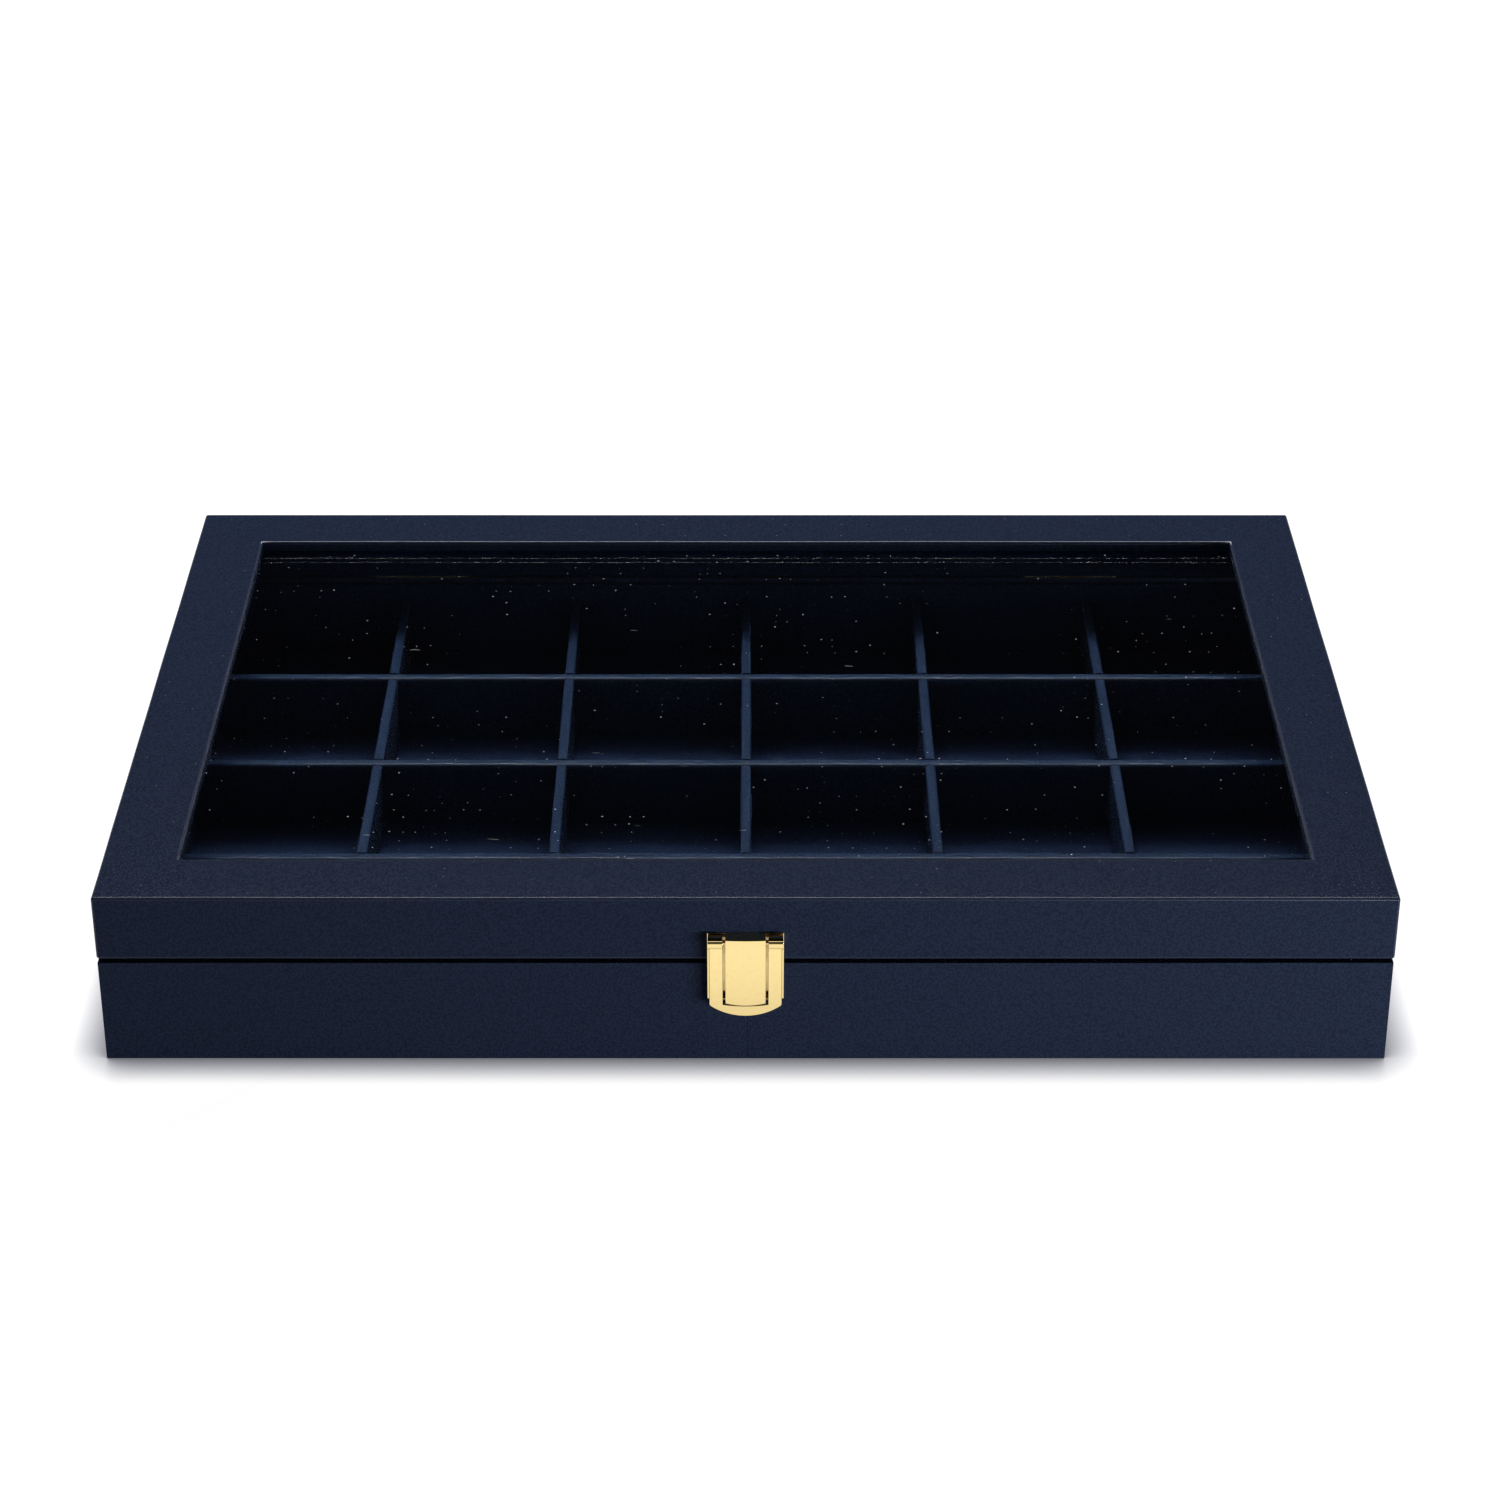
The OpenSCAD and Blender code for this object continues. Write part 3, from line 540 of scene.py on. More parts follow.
def cut_across(bm, axis, at):
    """Cuts every face where it crosses a plane square to an axis."""
    point = Vector((0, 0, 0))
    point[axis] = at
    across = Vector((0, 0, 0))
    across[axis] = 1
    bmesh.ops.bisect_plane(bm, geom=whole(bm), dist=1e-6, plane_co=point, plane_no=across)


def score(bm, axis, low, high, spacing):
    """Cuts across an axis at even steps between low and high."""
    count = max(1, round((high - low) / spacing))
    for step in range(1, count):
        cut_across(bm, axis, low + (high - low) * step / count)


def sway(bm, amount, wavelength):
    """Moves points sideways by smooth noise, by amount at most."""
    for vert in bm.verts:
        drift = noise.noise_vector(vert.co / wavelength)
        vert.co += Vector((drift.x, drift.y, 0)) * amount


def round_off(bm, edges, radius, segments):
    """Rounds edges, and marks the inner rows of points of the rounding as worn."""
    layer = bm.verts.layers.float.get("worn") or bm.verts.layers.float.new("worn")
    made = bmesh.ops.bevel(bm, geom=edges, offset=radius, offset_type="OFFSET", affect="EDGES",
                           segments=segments, profile=0.5, material=-1)
    rounding = set(made["faces"])
    for vert in made["verts"]:
        if set(vert.link_faces) <= rounding:
            vert[layer] = 1.0


def as_object(bm, name, material):
    """Turns a bmesh into an object in the scene."""
    mesh = bpy.data.meshes.new(name)
    bm.to_mesh(mesh)
    bm.free()
    mesh.materials.append(material)
    made = bpy.data.objects.new(name, mesh)
    scene.collection.objects.link(made)
    return made


def finish_piece(bm, name, body, material, stands_for=(), sharp=radians(50)):
    """Turns a bmesh into a smooth-shaded object on a body. It stands for the solids that it's given."""
    for face in bm.faces:
        face.smooth = True
    for edge in bm.edges:
        edge.smooth = not edge.is_boundary and edge.calc_face_angle(0) < sharp
    made = as_object(bm, name, material)
    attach(made, body)
    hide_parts(*stands_for)
    return made


def thicken(piece, thickness):
    """Gives a skin its thickness, inwards."""
    solid = piece.modifiers.new("thickness", "SOLIDIFY")
    solid.thickness = thickness
    solid.offset = -1
    solid.use_even_offset = True


def soften(piece, radius, segments=3):
    """Rounds the remaining edges, and shades flat faces flat."""
    rounding = piece.modifiers.new("rounding", "BEVEL")
    rounding.width = radius
    rounding.segments = segments
    rounding.limit_method = "ANGLE"
    rounding.angle_limit = radians(40)
    even_shading(piece)


def even_shading(piece):
    """Weighs shading by area, so that roundings don't tint the flats beside them."""
    weighted = piece.modifiers.new("shading", "WEIGHTED_NORMAL")
    weighted.keep_sharp = True


print("helpers: move, turn, cut_across, score, sway, round_off, finish_piece, thicken, soften")

# %% [markdown]
# ## The covers
# The outside of the base and of the lid is each one sheet of leatherette: it starts inside, folds over
# the rim, runs down the walls and folds in again. A sweep says just that. A rectangle is extruded through
# a list of stations, each with its own half width, half depth and height, and the four corners come out
# mitred, as the real folds do. The folds are then rounded, the long runs swayed by a hair's breadth, and
# the skin given its thickness.

# %% Draw a sheet through rows of points
CORNERS = ((-1, -1), (1, -1), (1, 1), (-1, 1))


def drawn_sheet(bm, rows, closed=False):
    """Extrudes a row of points, or a closed ring, through the rows after it. Returns every row's points."""
    line = [bm.verts.new(point) for point in rows[0]]
    first = 0 if closed else 1
    edges = [bm.edges.new((line[i - 1], line[i])) for i in range(first, len(line))]
    lines = [line]
    for row in rows[1:]:
        fresh = points_of(bmesh.ops.extrude_edge_only(bm, edges=edges))
        line = [min(fresh, key=lambda vert: (vert.co - old.co).length) for old in line]
        for vert, point in zip(line, row):
            vert.co = point
        edges = [bm.edges.get((line[i - 1], line[i])) for i in range(first, len(line))]
        lines.append(line)
    return lines


def folded_skin(bm, stations):
    """Draws a rectangle through (half width, half depth, height) stations. Returns its rings of points."""
    rows = [[(x * half_x, y * half_y, z) for x, y in CORNERS] for half_x, half_y, z in stations]
    rings = drawn_sheet(bm, rows, closed=True)
    bmesh.ops.recalc_face_normals(bm, faces=bm.faces)
    return rings


def edges_within(bm, *rings):
    """The edges whose two points both lie in the given rings."""
    held = {vert for ring in rings for vert in ring}
    return [edge for edge in bm.edges if set(edge.verts) <= held]


print("helpers: drawn_sheet, folded_skin, edges_within")

# %% [markdown]
# ### The base
# Under the box the skin is turned in by 12 mm, and a felt panel covers what is left. Inside it runs over
# the rim and down behind the lining. The two ends of the sheet meet in a butt seam at the middle of the
# front, which shows as a faint upright line below the latch: three cuts close together, with the middle
# one pushed in and painted black along its groove as painted shade.

# %% Cover the base
EDGE_R = 0.8 * MM
RIM_R = 0.5 * MM
RIM_TURN = 4 * MM
SCORE_STEP = 6 * MM
SEAM_X = 0.4 * MM
SEAM_HALF = 0.14 * MM
SEAM_DEPTH = 0.2 * MM
BASE_SWAY = 0.1 * MM
BASE_SWAY_LENGTH = 45 * MM

bm = bmesh.new()
rings = folded_skin(bm, [
    (base_high.x - TURN_IN, base_high.y - TURN_IN, base_low.z),
    (base_high.x, base_high.y, base_low.z),
    (base_high.x, base_high.y, base_high.z),
    (hollow_high.x, hollow_high.y, base_high.z),
    (hollow_high.x, hollow_high.y, base_high.z - RIM_TURN),
])
rim_edge = edges_within(bm, rings[3])
round_off(bm, rim_edge, RIM_R, 2)
round_off(bm, edges_within(bm, rings[1], rings[2]), EDGE_R, 4)
score(bm, 0, base_low.x, base_high.x, SCORE_STEP)
score(bm, 1, base_low.y, base_high.y, SCORE_STEP)
for shift in (-SEAM_HALF, 0, SEAM_HALF):
    cut_across(bm, 0, SEAM_X + shift)
# The middle cut is pushed in, and a worn value of -1 paints it black: painted shade in the groove.
worn = bm.verts.layers.float["worn"]
for vert in bm.verts:
    if abs(vert.co.x - SEAM_X) < 0.1 * SEAM_HALF and vert.co.y < base_low.y + EDGE_R:
        vert.co.y += SEAM_DEPTH
        vert[worn] = -1.0
sway(bm, BASE_SWAY, BASE_SWAY_LENGTH)
base_cover = finish_piece(bm, "base_cover", "base", CASE_LEATHER, ["base_wrap"])
thicken(base_cover, WRAP_T)
even_shading(base_cover)
print("base_cover:", len(base_cover.data.polygons), "faces")

# %% [markdown]
# ### The lid
# The lid's skin takes one more fold: from the top frame it turns down into the window as far as the
# glass, with a mitre in each corner of the reveal. The window's edge is rounded a little more than the
# outer edges, because there the covering is pulled over a bare board by hand.

# %% Cover the lid
WINDOW_R = 0.9 * MM
LID_SWAY = 0.12 * MM
LID_SWAY_LENGTH = 40 * MM

bm = bmesh.new()
rings = folded_skin(bm, [
    (hollow_high.x, hollow_high.y, lid_low.z + RIM_TURN),
    (hollow_high.x, hollow_high.y, lid_low.z),
    (lid_high.x, lid_high.y, lid_low.z),
    (lid_high.x, lid_high.y, lid_high.z),
    (window_x, window_y, lid_high.z),
    (window_x, window_y, pane_high.z),
])
rim_edge = edges_within(bm, rings[1])
window_edge = edges_within(bm, rings[4])
outer_edges = edges_within(bm, rings[2], rings[3])
round_off(bm, rim_edge, RIM_R, 2)
round_off(bm, [edge for edge in window_edge if edge.is_valid], WINDOW_R, 4)
round_off(bm, [edge for edge in outer_edges if edge.is_valid], EDGE_R, 4)
score(bm, 0, lid_low.x, lid_high.x, SCORE_STEP)
score(bm, 1, lid_low.y, lid_high.y, SCORE_STEP)
sway(bm, LID_SWAY, LID_SWAY_LENGTH)
lid_cover = finish_piece(bm, "lid_cover", "lid", CASE_LEATHER, ["lid_wrap"])
thicken(lid_cover, WRAP_T)
even_shading(lid_cover)
print("lid_cover:", len(lid_cover.data.polygons), "faces")

# %% [markdown]
# ## Dividers and linings
# Every divider and lining is a strip of board in the same leatherette. Its outline starts as one upright
# face. Planes score it where the notches are, the faces in the notches are deleted, and the rest is
# extruded to thickness: that is how the strips are cut for half-lap joints on the real bench too. The top
# edges are rounded last, and swayed, since a covered edge never runs quite straight.

# %% Cut a covered strip
STRIP_STEP = 5 * MM
STRIP_SWAY_LENGTH = 22 * MM


def covered_strip(half, thickness, low, high, radius, notches=(), notch_w=0.0, notch_span=(0.0, 0.0)):
    """A strip along X with a rounded top. Notches are where its cuts have their middles."""
    notch_low, notch_high = notch_span
    bm = bmesh.new()
    corners = ((-half, low), (half, low), (half, high), (-half, high))
    bm.faces.new([bm.verts.new((x, -thickness / 2, z)) for x, z in corners])
    for middle in notches:
        cut_across(bm, 0, middle - notch_w / 2)
        cut_across(bm, 0, middle + notch_w / 2)
    inner = notch_high if notch_high < high else notch_low
    cut_across(bm, 2, inner)
    cut_out = []
    for face in bm.faces:
        centre = face.calc_center_median()
        beside = min([abs(centre.x - middle) for middle in notches], default=half)
        if beside < notch_w / 2 and notch_low < centre.z < notch_high:
            cut_out.append(face)
    bmesh.ops.delete(bm, geom=cut_out, context="FACES")
    move(bm, points_of(bmesh.ops.extrude_face_region(bm, geom=bm.faces[:])), (0, thickness, 0))
    bmesh.ops.recalc_face_normals(bm, faces=bm.faces)
    top = [edge for edge in bm.edges
           if all(vert.co.z > high - SLIVER for vert in edge.verts)
           and abs(edge.verts[0].co.x - edge.verts[1].co.x) > SLIVER]
    round_off(bm, top, radius, 4)
    score(bm, 0, -half, half, STRIP_STEP)
    return bm


def wave_top(bm, low, high, amount, seed):
    """Sways a strip more the higher a point is, so that it stays put where it is glued."""
    for vert in bm.verts:
        height = max(0.0, (vert.co.z - low) / (high - low))
        drift = noise.noise_vector(vert.co / STRIP_SWAY_LENGTH + Vector((seed * 7.3, 0, 0)))
        vert.co += Vector((0, drift.y, 0.5 * drift.z)) * amount * height ** 2


print("helpers: covered_strip, wave_top")

# %% [markdown]
# ### The half-lapped grid
# Three long dividers run from side to side, notched from below, and five short ones run from front to
# back, notched from above, so that they slide into each other like an egg crate. The solids give the
# places: the middle of each one's box. Each seam of play at a crossing shows as a fine dark line.

# %% Make the dividers
NOTCH_PLAY = 0.2 * MM
DIVIDER_R = 0.9 * MM
DIVIDER_SWAY = 0.12 * MM
LONG_NAMES = ["front_long_divider", "middle_long_divider", "back_long_divider"]
SHORT_NAMES = [f"short_divider_{i}" for i in range(1, 6)]


def middle_of(name, axis):
    low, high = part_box(name)
    return (low[axis] + high[axis]) / 2


def make_dividers(names, others, turned, from_above):
    """Makes the dividers that run one way. Others are the ones that they cross."""
    along, across = (1, 0) if turned else (0, 1)
    crossings = [middle_of(other, along) for other in others]
    other_low, other_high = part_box(others[0])
    notch_w = other_high[along] - other_low[along] + 2 * NOTCH_PLAY
    for seed, name in enumerate(names):
        low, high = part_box(name)
        half_lap = (low.z + high.z) / 2
        span = (half_lap, high.z + MM) if from_above else (low.z - MM, half_lap)
        spots = [-at for at in crossings] if turned else crossings
        thickness = high[across] - low[across]
        bm = covered_strip(high[along], thickness, low.z, high.z, DIVIDER_R, spots, notch_w, span)
        wave_top(bm, low.z, high.z, DIVIDER_SWAY, seed + (20 if turned else 0))
        if turned:
            turn(bm, -pi / 2, "Z")
        move(bm, bm.verts, (middle_of(name, 0), middle_of(name, 1), 0))
        made = finish_piece(bm, name + "_covered", "base", DIVIDER_LEATHER, [name])
        even_shading(made)


make_dividers(LONG_NAMES, SHORT_NAMES, turned=False, from_above=False)
make_dividers(SHORT_NAMES, LONG_NAMES, turned=True, from_above=True)
print("dividers:", len(LONG_NAMES), "long and", len(SHORT_NAMES), "short")

# %% [markdown]
# ### The linings
# Covered strips line the walls of the tray and of the lid. The lid's strips hang upside down, with their
# rounded edges towards the tray, and their upper edges carry the glass.

# %% Make the linings
LINING_R = 0.7 * MM
LINING_SWAY = 0.1 * MM


def make_lining(name, body, hangs, seed):
    """A lining in the place of its solid. One that hangs has its rounded edge below."""
    low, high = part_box(name)
    turned = high.y - low.y > high.x - low.x
    along, across = (1, 0) if turned else (0, 1)
    tall = high.z - low.z
    bm = covered_strip((high[along] - low[along]) / 2, high[across] - low[across], 0, tall, LINING_R)
    wave_top(bm, 0, tall, LINING_SWAY, seed)
    if hangs:
        turn(bm, pi, "X", (0, 0, tall / 2))
    if turned:
        turn(bm, pi / 2, "Z")
    move(bm, bm.verts, (middle_of(name, 0), middle_of(name, 1), low.z))
    made = finish_piece(bm, name + "_covered", body, LINING_LEATHER, [name])
    even_shading(made)


for seed, side in enumerate(("front", "back", "left", "right")):
    make_lining(f"base_{side}_lining", "base", False, 40 + seed)
    make_lining(f"lid_{side}_lining", "lid", True, 50 + seed)
print("linings: four in the tray, four in the lid")

# %% [markdown]
# ## The latch
# A flap latch is three pressings and a pin. The lid plate is bent over at the top into a bridge and comes
# down in front as a fixed tongue. The flap is a U that swings on the pin between the lid plate and the
# tongue. The keeper on the base has a lip that the flap's ridge snaps under. Sheet metal is best made as
# it is in the press: a thin skin, bent at its edges, then given its thickness and softened.

# %% Measure the latch
flap_low, flap_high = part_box("latch_flap")
plate_low, plate_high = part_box("latch_plate")
keeper_low, keeper_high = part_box("latch_keeper")
pin_low, pin_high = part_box("latch_pin")
pin_at = (pin_low + pin_high) / 2
pin_r = (pin_high.z - pin_low.z) / 2
SHEET = 0.6 * MM
ARM_HALF = 9.8 * MM
SLOT_HALF = 6.2 * MM
TONGUE_HALF = 5.4 * MM
FLAP_DEPTH = 1.5 * MM
EAR_R = 1.9 * MM
BORE_PLAY = 0.05 * MM
print(f"pin axis at y {pin_at.y / MM:.2f}, z {pin_at.z / MM:.2f}, radius {pin_r / MM:.2f} mm")

# %% [markdown]
# ### Parts that every pressing needs
# A sheet's skin is drawn first, as the face that shows, and a solidify operator then gives it thickness
# behind. Plates, ridges and lips are small blocks, softened later by a Bevel modifier, which also rounds
# the cut edges of the sheet. A barrel, such as a knuckle, is a flat outline spun about its pin.

# %% Sheet, block and barrel
def face_front(bm):
    """Turns a sheet's faces so that most of them look to the front."""
    bmesh.ops.recalc_face_normals(bm, faces=bm.faces)
    if sum(face.normal.y * face.calc_area() for face in bm.faces) > 0:
        bmesh.ops.reverse_faces(bm, faces=bm.faces)


def fold_back(bm, edges, depth):
    """Extrudes edges straight back by depth, as a turned rim."""
    move(bm, points_of(bmesh.ops.extrude_edge_only(bm, edges=edges)), (0, depth, 0))


def block(bm, low, high):
    """A box between two corners. Returns its points."""
    low, high = Vector(low), Vector(high)
    made = bmesh.ops.create_cube(bm, size=1)["verts"]
    bmesh.ops.scale(bm, verts=made, vec=high - low)
    move(bm, made, (low + high) / 2)
    return made


def barrel(bm, start_x, end_x, outer, bore, axis_at, steps=36):
    """A tube along X round an axis. With no bore it is a solid rod."""
    profile = [(start_x, bore), (start_x, outer), (end_x, outer), (end_x, bore)]
    points = [bm.verts.new((x, axis_at.y, axis_at.z + radius)) for x, radius in profile]
    edges = [bm.edges.new((points[i - 1], points[i])) for i in range(0 if bore else 1, 4)]
    bmesh.ops.spin(bm, geom=points + edges, cent=(0, axis_at.y, axis_at.z), axis=(1, 0, 0), dvec=(0, 0, 0),
                   angle=2 * pi, steps=steps, use_merge=True, use_duplicate=False)
    if not bore:
        bmesh.ops.remove_doubles(bm, verts=bm.verts, dist=MERGE)


def closed_solid(bm, thickness):
    """Gives a sheet its thickness, behind the face that shows."""
    bmesh.ops.solidify(bm, geom=bm.faces[:], thickness=thickness)


print("helpers: face_front, fold_back, block, barrel, closed_solid")

# %% [markdown]
# ### The flap
# The outline of the flap is a ribbon: down one arm, round the bow and up the other. A row of just two
# points, one on the outer line and one on the slot, is drawn from station to station. The outer line's
# edges are then turned back into a rim. Two ears close round the pin, each under a heel whose pressed top
# is painted amber, a painted reflection of the dark room, and a ridge across the bow is what snaps under
# the keeper's lip.

# %% Press the flap
FLAP_PROUD = 4.1 * MM
BOW_R = 15.7 * MM
BOW_H = 3.15 * MM
SLOT_R = 40 * MM
BOW_STEPS = 24
CORNER_R = 1 * MM
CORNER_SHARES = (0.96, 0.98, 0.995)
RIM_FOLD_R = 0.3 * MM
PRESS_R = 0.1 * MM
RIDGE_UP = 1.55 * MM
RIDGE_H = 1.2 * MM
RIDGE_HALF = 5 * MM
HEEL_FRONT = 1.5 * MM
HEEL_BACK = 0.4 * MM
HEEL_SLOPE = 0.6 * MM
HEEL_LIP = 0.25 * MM
HEEL_SINK = 0.12 * MM
flap_front = lid_low.y - FLAP_PROUD
flap_back = flap_front + FLAP_DEPTH


def bow_line(x):
    """The height of the flap's outer line at x: the bow's arc, and a small round where it meets an arm."""
    arc_z = flap_low.z + BOW_R
    corner_x = ARM_HALF - CORNER_R
    reach = BOW_R - CORNER_R
    if abs(x) < corner_x * BOW_R / reach:
        return arc_z - sqrt(BOW_R ** 2 - x ** 2)
    corner_z = arc_z - sqrt(reach ** 2 - corner_x ** 2)
    return corner_z - sqrt(max(0.0, CORNER_R ** 2 - (abs(x) - corner_x) ** 2))


def flap_rows():
    """Pairs of points, on the outer line and on the slot, down one arm and up the other."""
    slot_z = flap_low.z + BOW_H + SLOT_R
    shares = [2 * step / BOW_STEPS - 1 for step in range(BOW_STEPS + 1)]
    shares = sorted(shares + [side * share for share in CORNER_SHARES for side in (-1, 1)])
    pairs = [(-ARM_HALF, pin_at.z, -SLOT_HALF, pin_at.z)]
    for share in shares:
        outer = share * ARM_HALF
        inner = share * SLOT_HALF
        pairs.append((outer, bow_line(outer), inner, slot_z - sqrt(SLOT_R ** 2 - inner ** 2)))
    pairs.append((ARM_HALF, pin_at.z, SLOT_HALF, pin_at.z))
    return [[(a, flap_front, b), (c, flap_front, d)] for a, b, c, d in pairs]


def add_ear(bm, start_x, end_x):
    """One ear: a barrel round the pin, under a heel whose sloping top is pressed in."""
    barrel(bm, start_x, end_x, EAR_R, pin_r + BORE_PLAY, pin_at)
    heel = block(bm, (start_x, pin_at.y - HEEL_FRONT, pin_at.z + pin_r),
                 (end_x, pin_at.y + HEEL_BACK, flap_high.z))
    top = [face for face in bm.faces if set(face.verts) <= set(heel) and face.normal.z > 0.9]
    front_corners = [vert for vert in top[0].verts if vert.co.y < pin_at.y]
    move(bm, front_corners, (0, 0, -HEEL_SLOPE))
    top[0].normal_update()
    bmesh.ops.inset_region(bm, faces=top, thickness=HEEL_LIP, depth=-HEEL_SINK)
    # The pressed top is marked for painted amber: a painted reflection of the dark room.
    painted_reflection = bm.verts.layers.float.get("painted_reflection") or bm.verts.layers.float.new("painted_reflection")
    for vert in top[0].verts:
        vert[painted_reflection] = 1.0


bm = bmesh.new()
lines = drawn_sheet(bm, flap_rows())
outer_line = [line[0] for line in lines]
fold_back(bm, [bm.edges.get(pair) for pair in zip(outer_line, outer_line[1:])], FLAP_DEPTH)
face_front(bm)
round_off(bm, [bm.edges.get(pair) for pair in zip(outer_line, outer_line[1:])], RIM_FOLD_R, 3)
closed_solid(bm, SHEET)
block(bm, (-RIDGE_HALF, flap_front + SHEET / 2, flap_low.z + RIDGE_UP - RIDGE_H / 2),
      (RIDGE_HALF, flap_back, flap_low.z + RIDGE_UP + RIDGE_H / 2))
add_ear(bm, -flap_high.x, -SLOT_HALF)
add_ear(bm, SLOT_HALF, flap_high.x)
flap = finish_piece(bm, "flap_pressing", "latch_flap", GILT, ["latch_flap"], sharp=pi)
soften(flap, PRESS_R)
print("flap_pressing:", len(flap.data.polygons), "faces before rounding")

# %% [markdown]
# ### The lid plate and its tongue
# One strip of sheet makes both. A row of points across the strip is drawn forward from the wall over the
# bridge and down the front, where it ends in a slightly round edge. The bend sags a little in the middle,
# as a bend in thin sheet does. The strip's sides are turned back, and near the top they reach the plate,
# where the pin passes through them.

# %% Press the lid plate
TONGUE_PROUD = 4.2 * MM
TONGUE_LEN = 19 * MM
TONGUE_R = 20 * MM
TONGUE_COLUMNS = 12
BEND_SAG = 0.12 * MM
BEND_R = 0.25 * MM
PRESS_LINE_DEPTH = 0.05 * MM
PLATE_T = 0.5 * MM
CHEEK_LOW = plate_high.z - 3.3 * MM
FLANGE_LOW = keeper_low.z + 2 * MM
PRESS_LINE = 30.3 * MM
tongue_front = lid_low.y - TONGUE_PROUD


def tongue_row(y, z, sag=0.0, rounded=False):
    """A row of points across the strip. A rounded row is the tongue's lower edge."""
    row = []
    for column in range(TONGUE_COLUMNS + 1):
        x = (2 * column / TONGUE_COLUMNS - 1) * TONGUE_HALF
        dip = sag * (1 - (x / TONGUE_HALF) ** 2)
        rise = TONGUE_R - sqrt(TONGUE_R ** 2 - x ** 2) if rounded else 0.0
        row.append((x, y, z - dip + rise))
    return row


bm = bmesh.new()
lines = drawn_sheet(bm, [
    tongue_row(lid_low.y, plate_high.z),
    tongue_row(tongue_front, plate_high.z, sag=BEND_SAG),
    tongue_row(tongue_front, CHEEK_LOW),
    tongue_row(tongue_front, PRESS_LINE),
    tongue_row(tongue_front, FLANGE_LOW),
    tongue_row(tongue_front, pin_at.z - TONGUE_LEN, rounded=True),
])
bend, cheek, press_line, flange = lines[1:5]
for side in (0, -1):
    fold_back(bm, [bm.edges.get((bend[side], cheek[side]))], TONGUE_PROUD - PLATE_T)
    low_points = [line[side] for line in (cheek, press_line, flange)]
    low_edges = [bm.edges.get(pair) for pair in zip(low_points, low_points[1:])]
    fold_back(bm, low_edges, flap_back - tongue_front)
for vert in press_line:
    vert.co.y += PRESS_LINE_DEPTH
face_front(bm)
bend_edges = [bm.edges.get(pair) for pair in zip(bend, bend[1:])]
round_off(bm, bend_edges, BEND_R, 3)
closed_solid(bm, SHEET)
block(bm, (plate_low.x, lid_low.y - PLATE_T, plate_low.z), (plate_high.x, lid_low.y, plate_high.z))
lid_plate = finish_piece(bm, "lid_plate_pressing", "lid", GILT, ["latch_plate"], sharp=pi)
soften(lid_plate, PRESS_R)
print("lid_plate_pressing:", len(lid_plate.data.polygons), "faces before rounding")

# %% [markdown]
# ### The keeper and the pin
# The keeper is a plate with its lower edge bent forward into a lip, whose front is a half round. The pin
# is a rod with slightly domed ends, seen at the sides of the ears.

# %% Make the keeper and the pin
LIP_T = 1 * MM
LIP_HALF = 8.5 * MM
LIP_NOSE_R = 0.45 * MM
PIN_END_R = 0.2 * MM

bm = bmesh.new()
block(bm, (keeper_low.x, base_low.y - PLATE_T, keeper_low.z), (keeper_high.x, base_low.y, keeper_high.z))
lip = block(bm, (-LIP_HALF, keeper_low.y, keeper_low.z), (LIP_HALF, base_low.y, keeper_low.z + LIP_T))
nose = [edge for edge in bm.edges if set(edge.verts) <= set(lip)
        and all(vert.co.y < keeper_low.y + SLIVER for vert in edge.verts)
        and abs(edge.verts[0].co.x - edge.verts[1].co.x) > MM]
round_off(bm, nose, LIP_NOSE_R, 4)
keeper = finish_piece(bm, "keeper_pressing", "base", GILT, ["latch_keeper"], sharp=pi)
soften(keeper, PRESS_R)

bm = bmesh.new()
barrel(bm, pin_low.x, pin_high.x, pin_r, 0, pin_at, 24)
pin = finish_piece(bm, "latch_pin_rod", "lid", GILT, ["latch_pin"], sharp=pi)
soften(pin, PIN_END_R)
print("keeper_pressing and latch_pin_rod made")

# %% [markdown]
# ## The hinges and their screws
# The hinges' leaves are right as the solids have them, with knuckles, bores and stop tails, but their
# edges are as sharp as a drawing's. A copy of a solid's mesh is loose triangles, so its doubles are merged
# and its flat faces joined before a Bevel modifier softens what is left.

# %% Soften the hinges
LEAF_EDGE_R = 0.08 * MM
HINGE_PIN_R = 0.12 * MM


def softened_copy(name, body, radius):
    """A copy of a solid with merged points, joined flats and softened edges."""
    bm = bmesh.new()
    bm.from_mesh(frame["nodes"][name].data)
    bmesh.ops.remove_doubles(bm, verts=bm.verts, dist=0.001 * MM)
    bmesh.ops.dissolve_limit(bm, angle_limit=radians(0.5), verts=bm.verts, edges=bm.edges)
    made = finish_piece(bm, name + "_softened", body, GILT, [name], sharp=pi)
    soften(made, radius, 2)
    return made


for side in ("left", "right"):
    softened_copy(f"{side}_hinge_base_leaf", "base", LEAF_EDGE_R)
    softened_copy(f"{side}_hinge_lid_leaf", "lid", LEAF_EDGE_R)
    softened_copy(f"{side}_hinge_pin", "base", HINGE_PIN_R)
print("hinges: two base leaves, two lid leaves and two pins softened")

# %% [markdown]
# ### The screws
# Eight small screws hold the leaves. A screw's outline is spun about its own axis, and the slot is cut
# into the head as a strip of its top face, pushed down. The screws stand where the solids have theirs.

# %% Turn the screws
SCREW_R = 0.8 * MM
HEAD_R = 1.5 * MM
LEAF_T = 0.6 * MM
SLOT_W = 0.36 * MM
SLOT_DEPTH = 0.3 * MM
SCREW_STEPS = 28
SCREW_LEN = 9.5 * MM
POINT_LEN = 1.5 * MM


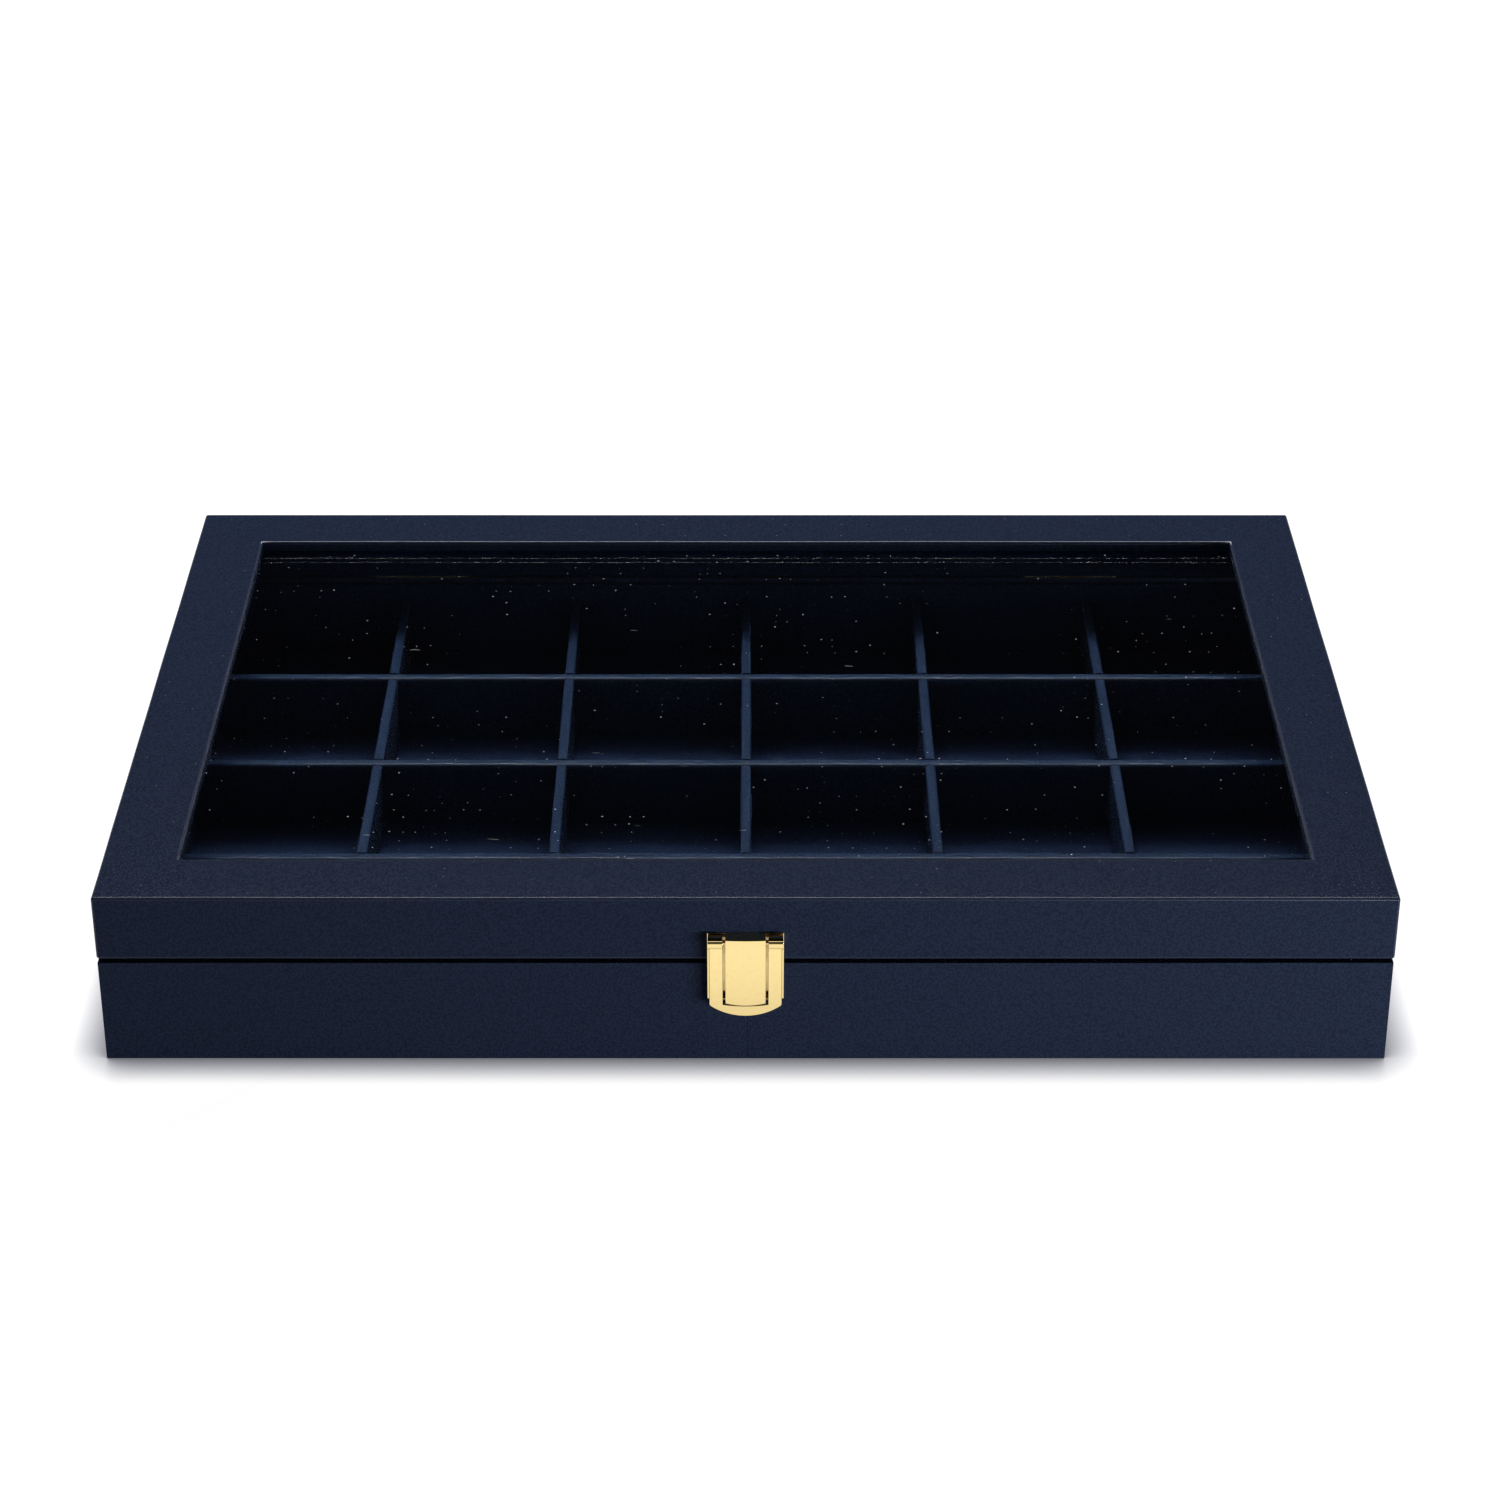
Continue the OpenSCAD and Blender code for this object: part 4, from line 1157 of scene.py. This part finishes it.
def slotted_screw(bm, place, up, slot_angle):
    """A countersunk screw with its head's face at place. It points down if up is 1, and up if -1."""
    made = bmesh.new()
    profile = [(0, 0), (HEAD_R, 0), (SCREW_R, -LEAF_T), (SCREW_R, POINT_LEN - SCREW_LEN), (0, -SCREW_LEN)]
    points = [made.verts.new((radius, 0, z)) for radius, z in profile]
    edges = [made.edges.new(pair) for pair in zip(points, points[1:])]
    bmesh.ops.spin(made, geom=points + edges, cent=(0, 0, 0), axis=(0, 0, 1), dvec=(0, 0, 0), angle=2 * pi,
                   steps=SCREW_STEPS, use_merge=True, use_duplicate=False)
    bmesh.ops.remove_doubles(made, verts=made.verts, dist=MERGE)
    bmesh.ops.recalc_face_normals(made, faces=made.faces)
    crown = [face for face in made.faces if face.normal.z > 0.9]
    bmesh.ops.dissolve_faces(made, faces=crown)
    for edge_x in (-SLOT_W / 2, SLOT_W / 2):
        cut_across(made, 0, edge_x)
    slot = [face for face in made.faces
            if face.normal.z > 0.9 and abs(face.calc_center_median().x) < SLOT_W / 4]
    bmesh.ops.inset_region(made, faces=slot, thickness=0.02 * MM, depth=-SLOT_DEPTH)
    turn(made, slot_angle, "Z")
    if up < 0:
        turn(made, pi, "X")
    move(made, made.verts, place)
    copy = bpy.data.meshes.new("screw")
    made.to_mesh(copy)
    made.free()
    bm.from_mesh(copy)
    bpy.data.meshes.remove(copy)


def screw_places(name):
    """The four middles of the screws in a solid, found from its box and their even spacing."""
    low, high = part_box(name)
    leaf_low, leaf_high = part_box("right_hinge_base_leaf")
    spread = (leaf_high.x - leaf_low.x) / 4
    middle = (leaf_low.x + leaf_high.x) / 2
    return [(side * middle + end * spread, (low.y + high.y) / 2) for side in (-1, 1) for end in (-1, 1)]


for name, body, up in (("base_hinge_screws", "base", 1), ("lid_hinge_screws", "lid", -1)):
    low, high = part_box(name)
    bm = bmesh.new()
    for number, (x, y) in enumerate(screw_places(name)):
        slotted_screw(bm, (x, y, high.z if up > 0 else low.z), up, 0.9 * number + up)
    screws = finish_piece(bm, name + "_slotted", body, GILT, [name], sharp=radians(30))
    print(screws.name + ":", len(screws.data.polygons), "faces")

# %% [markdown]
# ## Finishes for the solids that stay
# The boards, the floor card, the felt, the pane and the nails keep their solids, whose shape is already
# right. Each takes its finish by the slot that the record gives it, and the lid's rails take the stain.

# %% Dress the remaining solids
BY_SLOT = {"leatherette": CASE_LEATHER, "divider_cover": DIVIDER_LEATHER, "lining": LINING_LEATHER,
           "fibreboard": FIBREBOARD, "felt": FELT, "glass": GLASS, "gilt": GILT}
for part in frame["record"]["subparts"]:
    solid = frame["nodes"][part["node"]]
    solid.data.materials.clear()
    stained = part["node"].startswith("lid_") and part["node"].endswith("_rail")
    solid.data.materials.append(STAINED_BOARD if stained else BY_SLOT[part["material_slot"]])
shown = [name for name, solid in frame["nodes"].items() if not solid.hide_render]
print("solids that show:", ", ".join(sorted(shown)))

# %% [markdown]
# ## The studio
# The box stood on a white table under a broad soft light, high behind it. Low behind it the room was dark:
# the glass mirrors what is 17 to 40 degrees up there, and it shows next to nothing. The table is matt, and
# most of its white is a light of its own, for the camera and for mirrors only. An Ambient Occlusion node
# dims that light close to the box, in a slightly violet tone, as the shade in the picture has.

# %% Lay the table
TABLE_HALF = 30.0
TABLE_COLOUR = (0.2, 0.2, 0.21, 1)
TABLE_GLOW = 0.985
FOOT_SHADE = 13 * MM


def table_finish():
    made, tree, end = new_material("white_table")
    path = node(tree, "ShaderNodeLightPath").outputs
    seen = maths(tree, "MAXIMUM", path["Is Camera Ray"], path["Is Glossy Ray"])
    seen = maths(tree, "MAXIMUM", seen, path["Is Transmission Ray"])
    open_air = node(tree, "ShaderNodeAmbientOcclusion", {"Distance": FOOT_SHADE}, samples=16).outputs["AO"]
    strength = maths(tree, "MULTIPLY", maths(tree, "POWER", open_air, 2.5), TABLE_GLOW)
    tone = mixed(tree, open_air, (0.75, 0.77, 1, 1), (1, 1, 1, 1))
    matt = node(tree, "ShaderNodeBsdfDiffuse", {"Color": TABLE_COLOUR})
    strength = maths(tree, "MULTIPLY", seen, strength)
    glow = node(tree, "ShaderNodeEmission", {"Color": tone, "Strength": strength})
    both = node(tree, "ShaderNodeAddShader", {0: matt.outputs[0], 1: glow.outputs[0]})
    tree.links.new(both.outputs[0], end.inputs["Surface"])
    return made


bm = bmesh.new()
bmesh.ops.create_grid(bm, x_segments=1, y_segments=1, size=TABLE_HALF)
table = as_object(bm, "table", table_finish())
print("table:", 2 * TABLE_HALF, "m square, its top at z", table.location.z)

# %% [markdown]
# ### Lamps and sky
# The key lamp hangs high behind the box, and lights the lid and the floors of the tray. A long, low lamp
# stands in front, to the right: it lifts the faces that look at the camera, more so towards the right, and
# is too low to shine over the rim. The sky is pale along the horizon and dark above, the same all round,
# so the box looks alike from every side. The camera itself always sees white behind the table.

# %% Hang the lamps
def softbox(name, place, width, height, watts):
    """An area lamp that looks at the middle of the box."""
    light = bpy.data.lights.new(name, "AREA")
    light.shape = "RECTANGLE"
    light.size = width
    light.size_y = height
    light.energy = watts
    made = bpy.data.objects.new(name, light)
    made.location = place
    aim = Vector((0, 0, base_high.z)) - Vector(place)
    made.rotation_euler = aim.to_track_quat("-Z", "Y").to_euler()
    scene.collection.objects.link(made)
    return made


softbox("key_softbox", (0, 1.28, 1.63), 1.3, 0.6, 65)
softbox("card_light", (0.45, -0.64, 0.036), 0.5, 0.068, 5.1)

world = bpy.data.worlds.new("studio")
world.use_nodes = True
scene.world = world
tree = world.node_tree
tree.nodes.clear()
direction = node(tree, "ShaderNodeTexCoord").outputs["Generated"]
height = node(tree, "ShaderNodeSeparateXYZ", {0: direction}).outputs["Z"]
pale = ramped(tree, height, 0.1, 0.26, 0.7, 0.004)
camera_ray = node(tree, "ShaderNodeLightPath").outputs["Is Camera Ray"]
strength = maths(tree, "MAXIMUM", pale, camera_ray)
sky = node(tree, "ShaderNodeBackground", {"Color": (1, 1, 1, 1), "Strength": strength})
tree.links.new(sky.outputs[0], node(tree, "ShaderNodeOutputWorld").inputs["Surface"])
scene.view_settings.view_transform = "Standard"
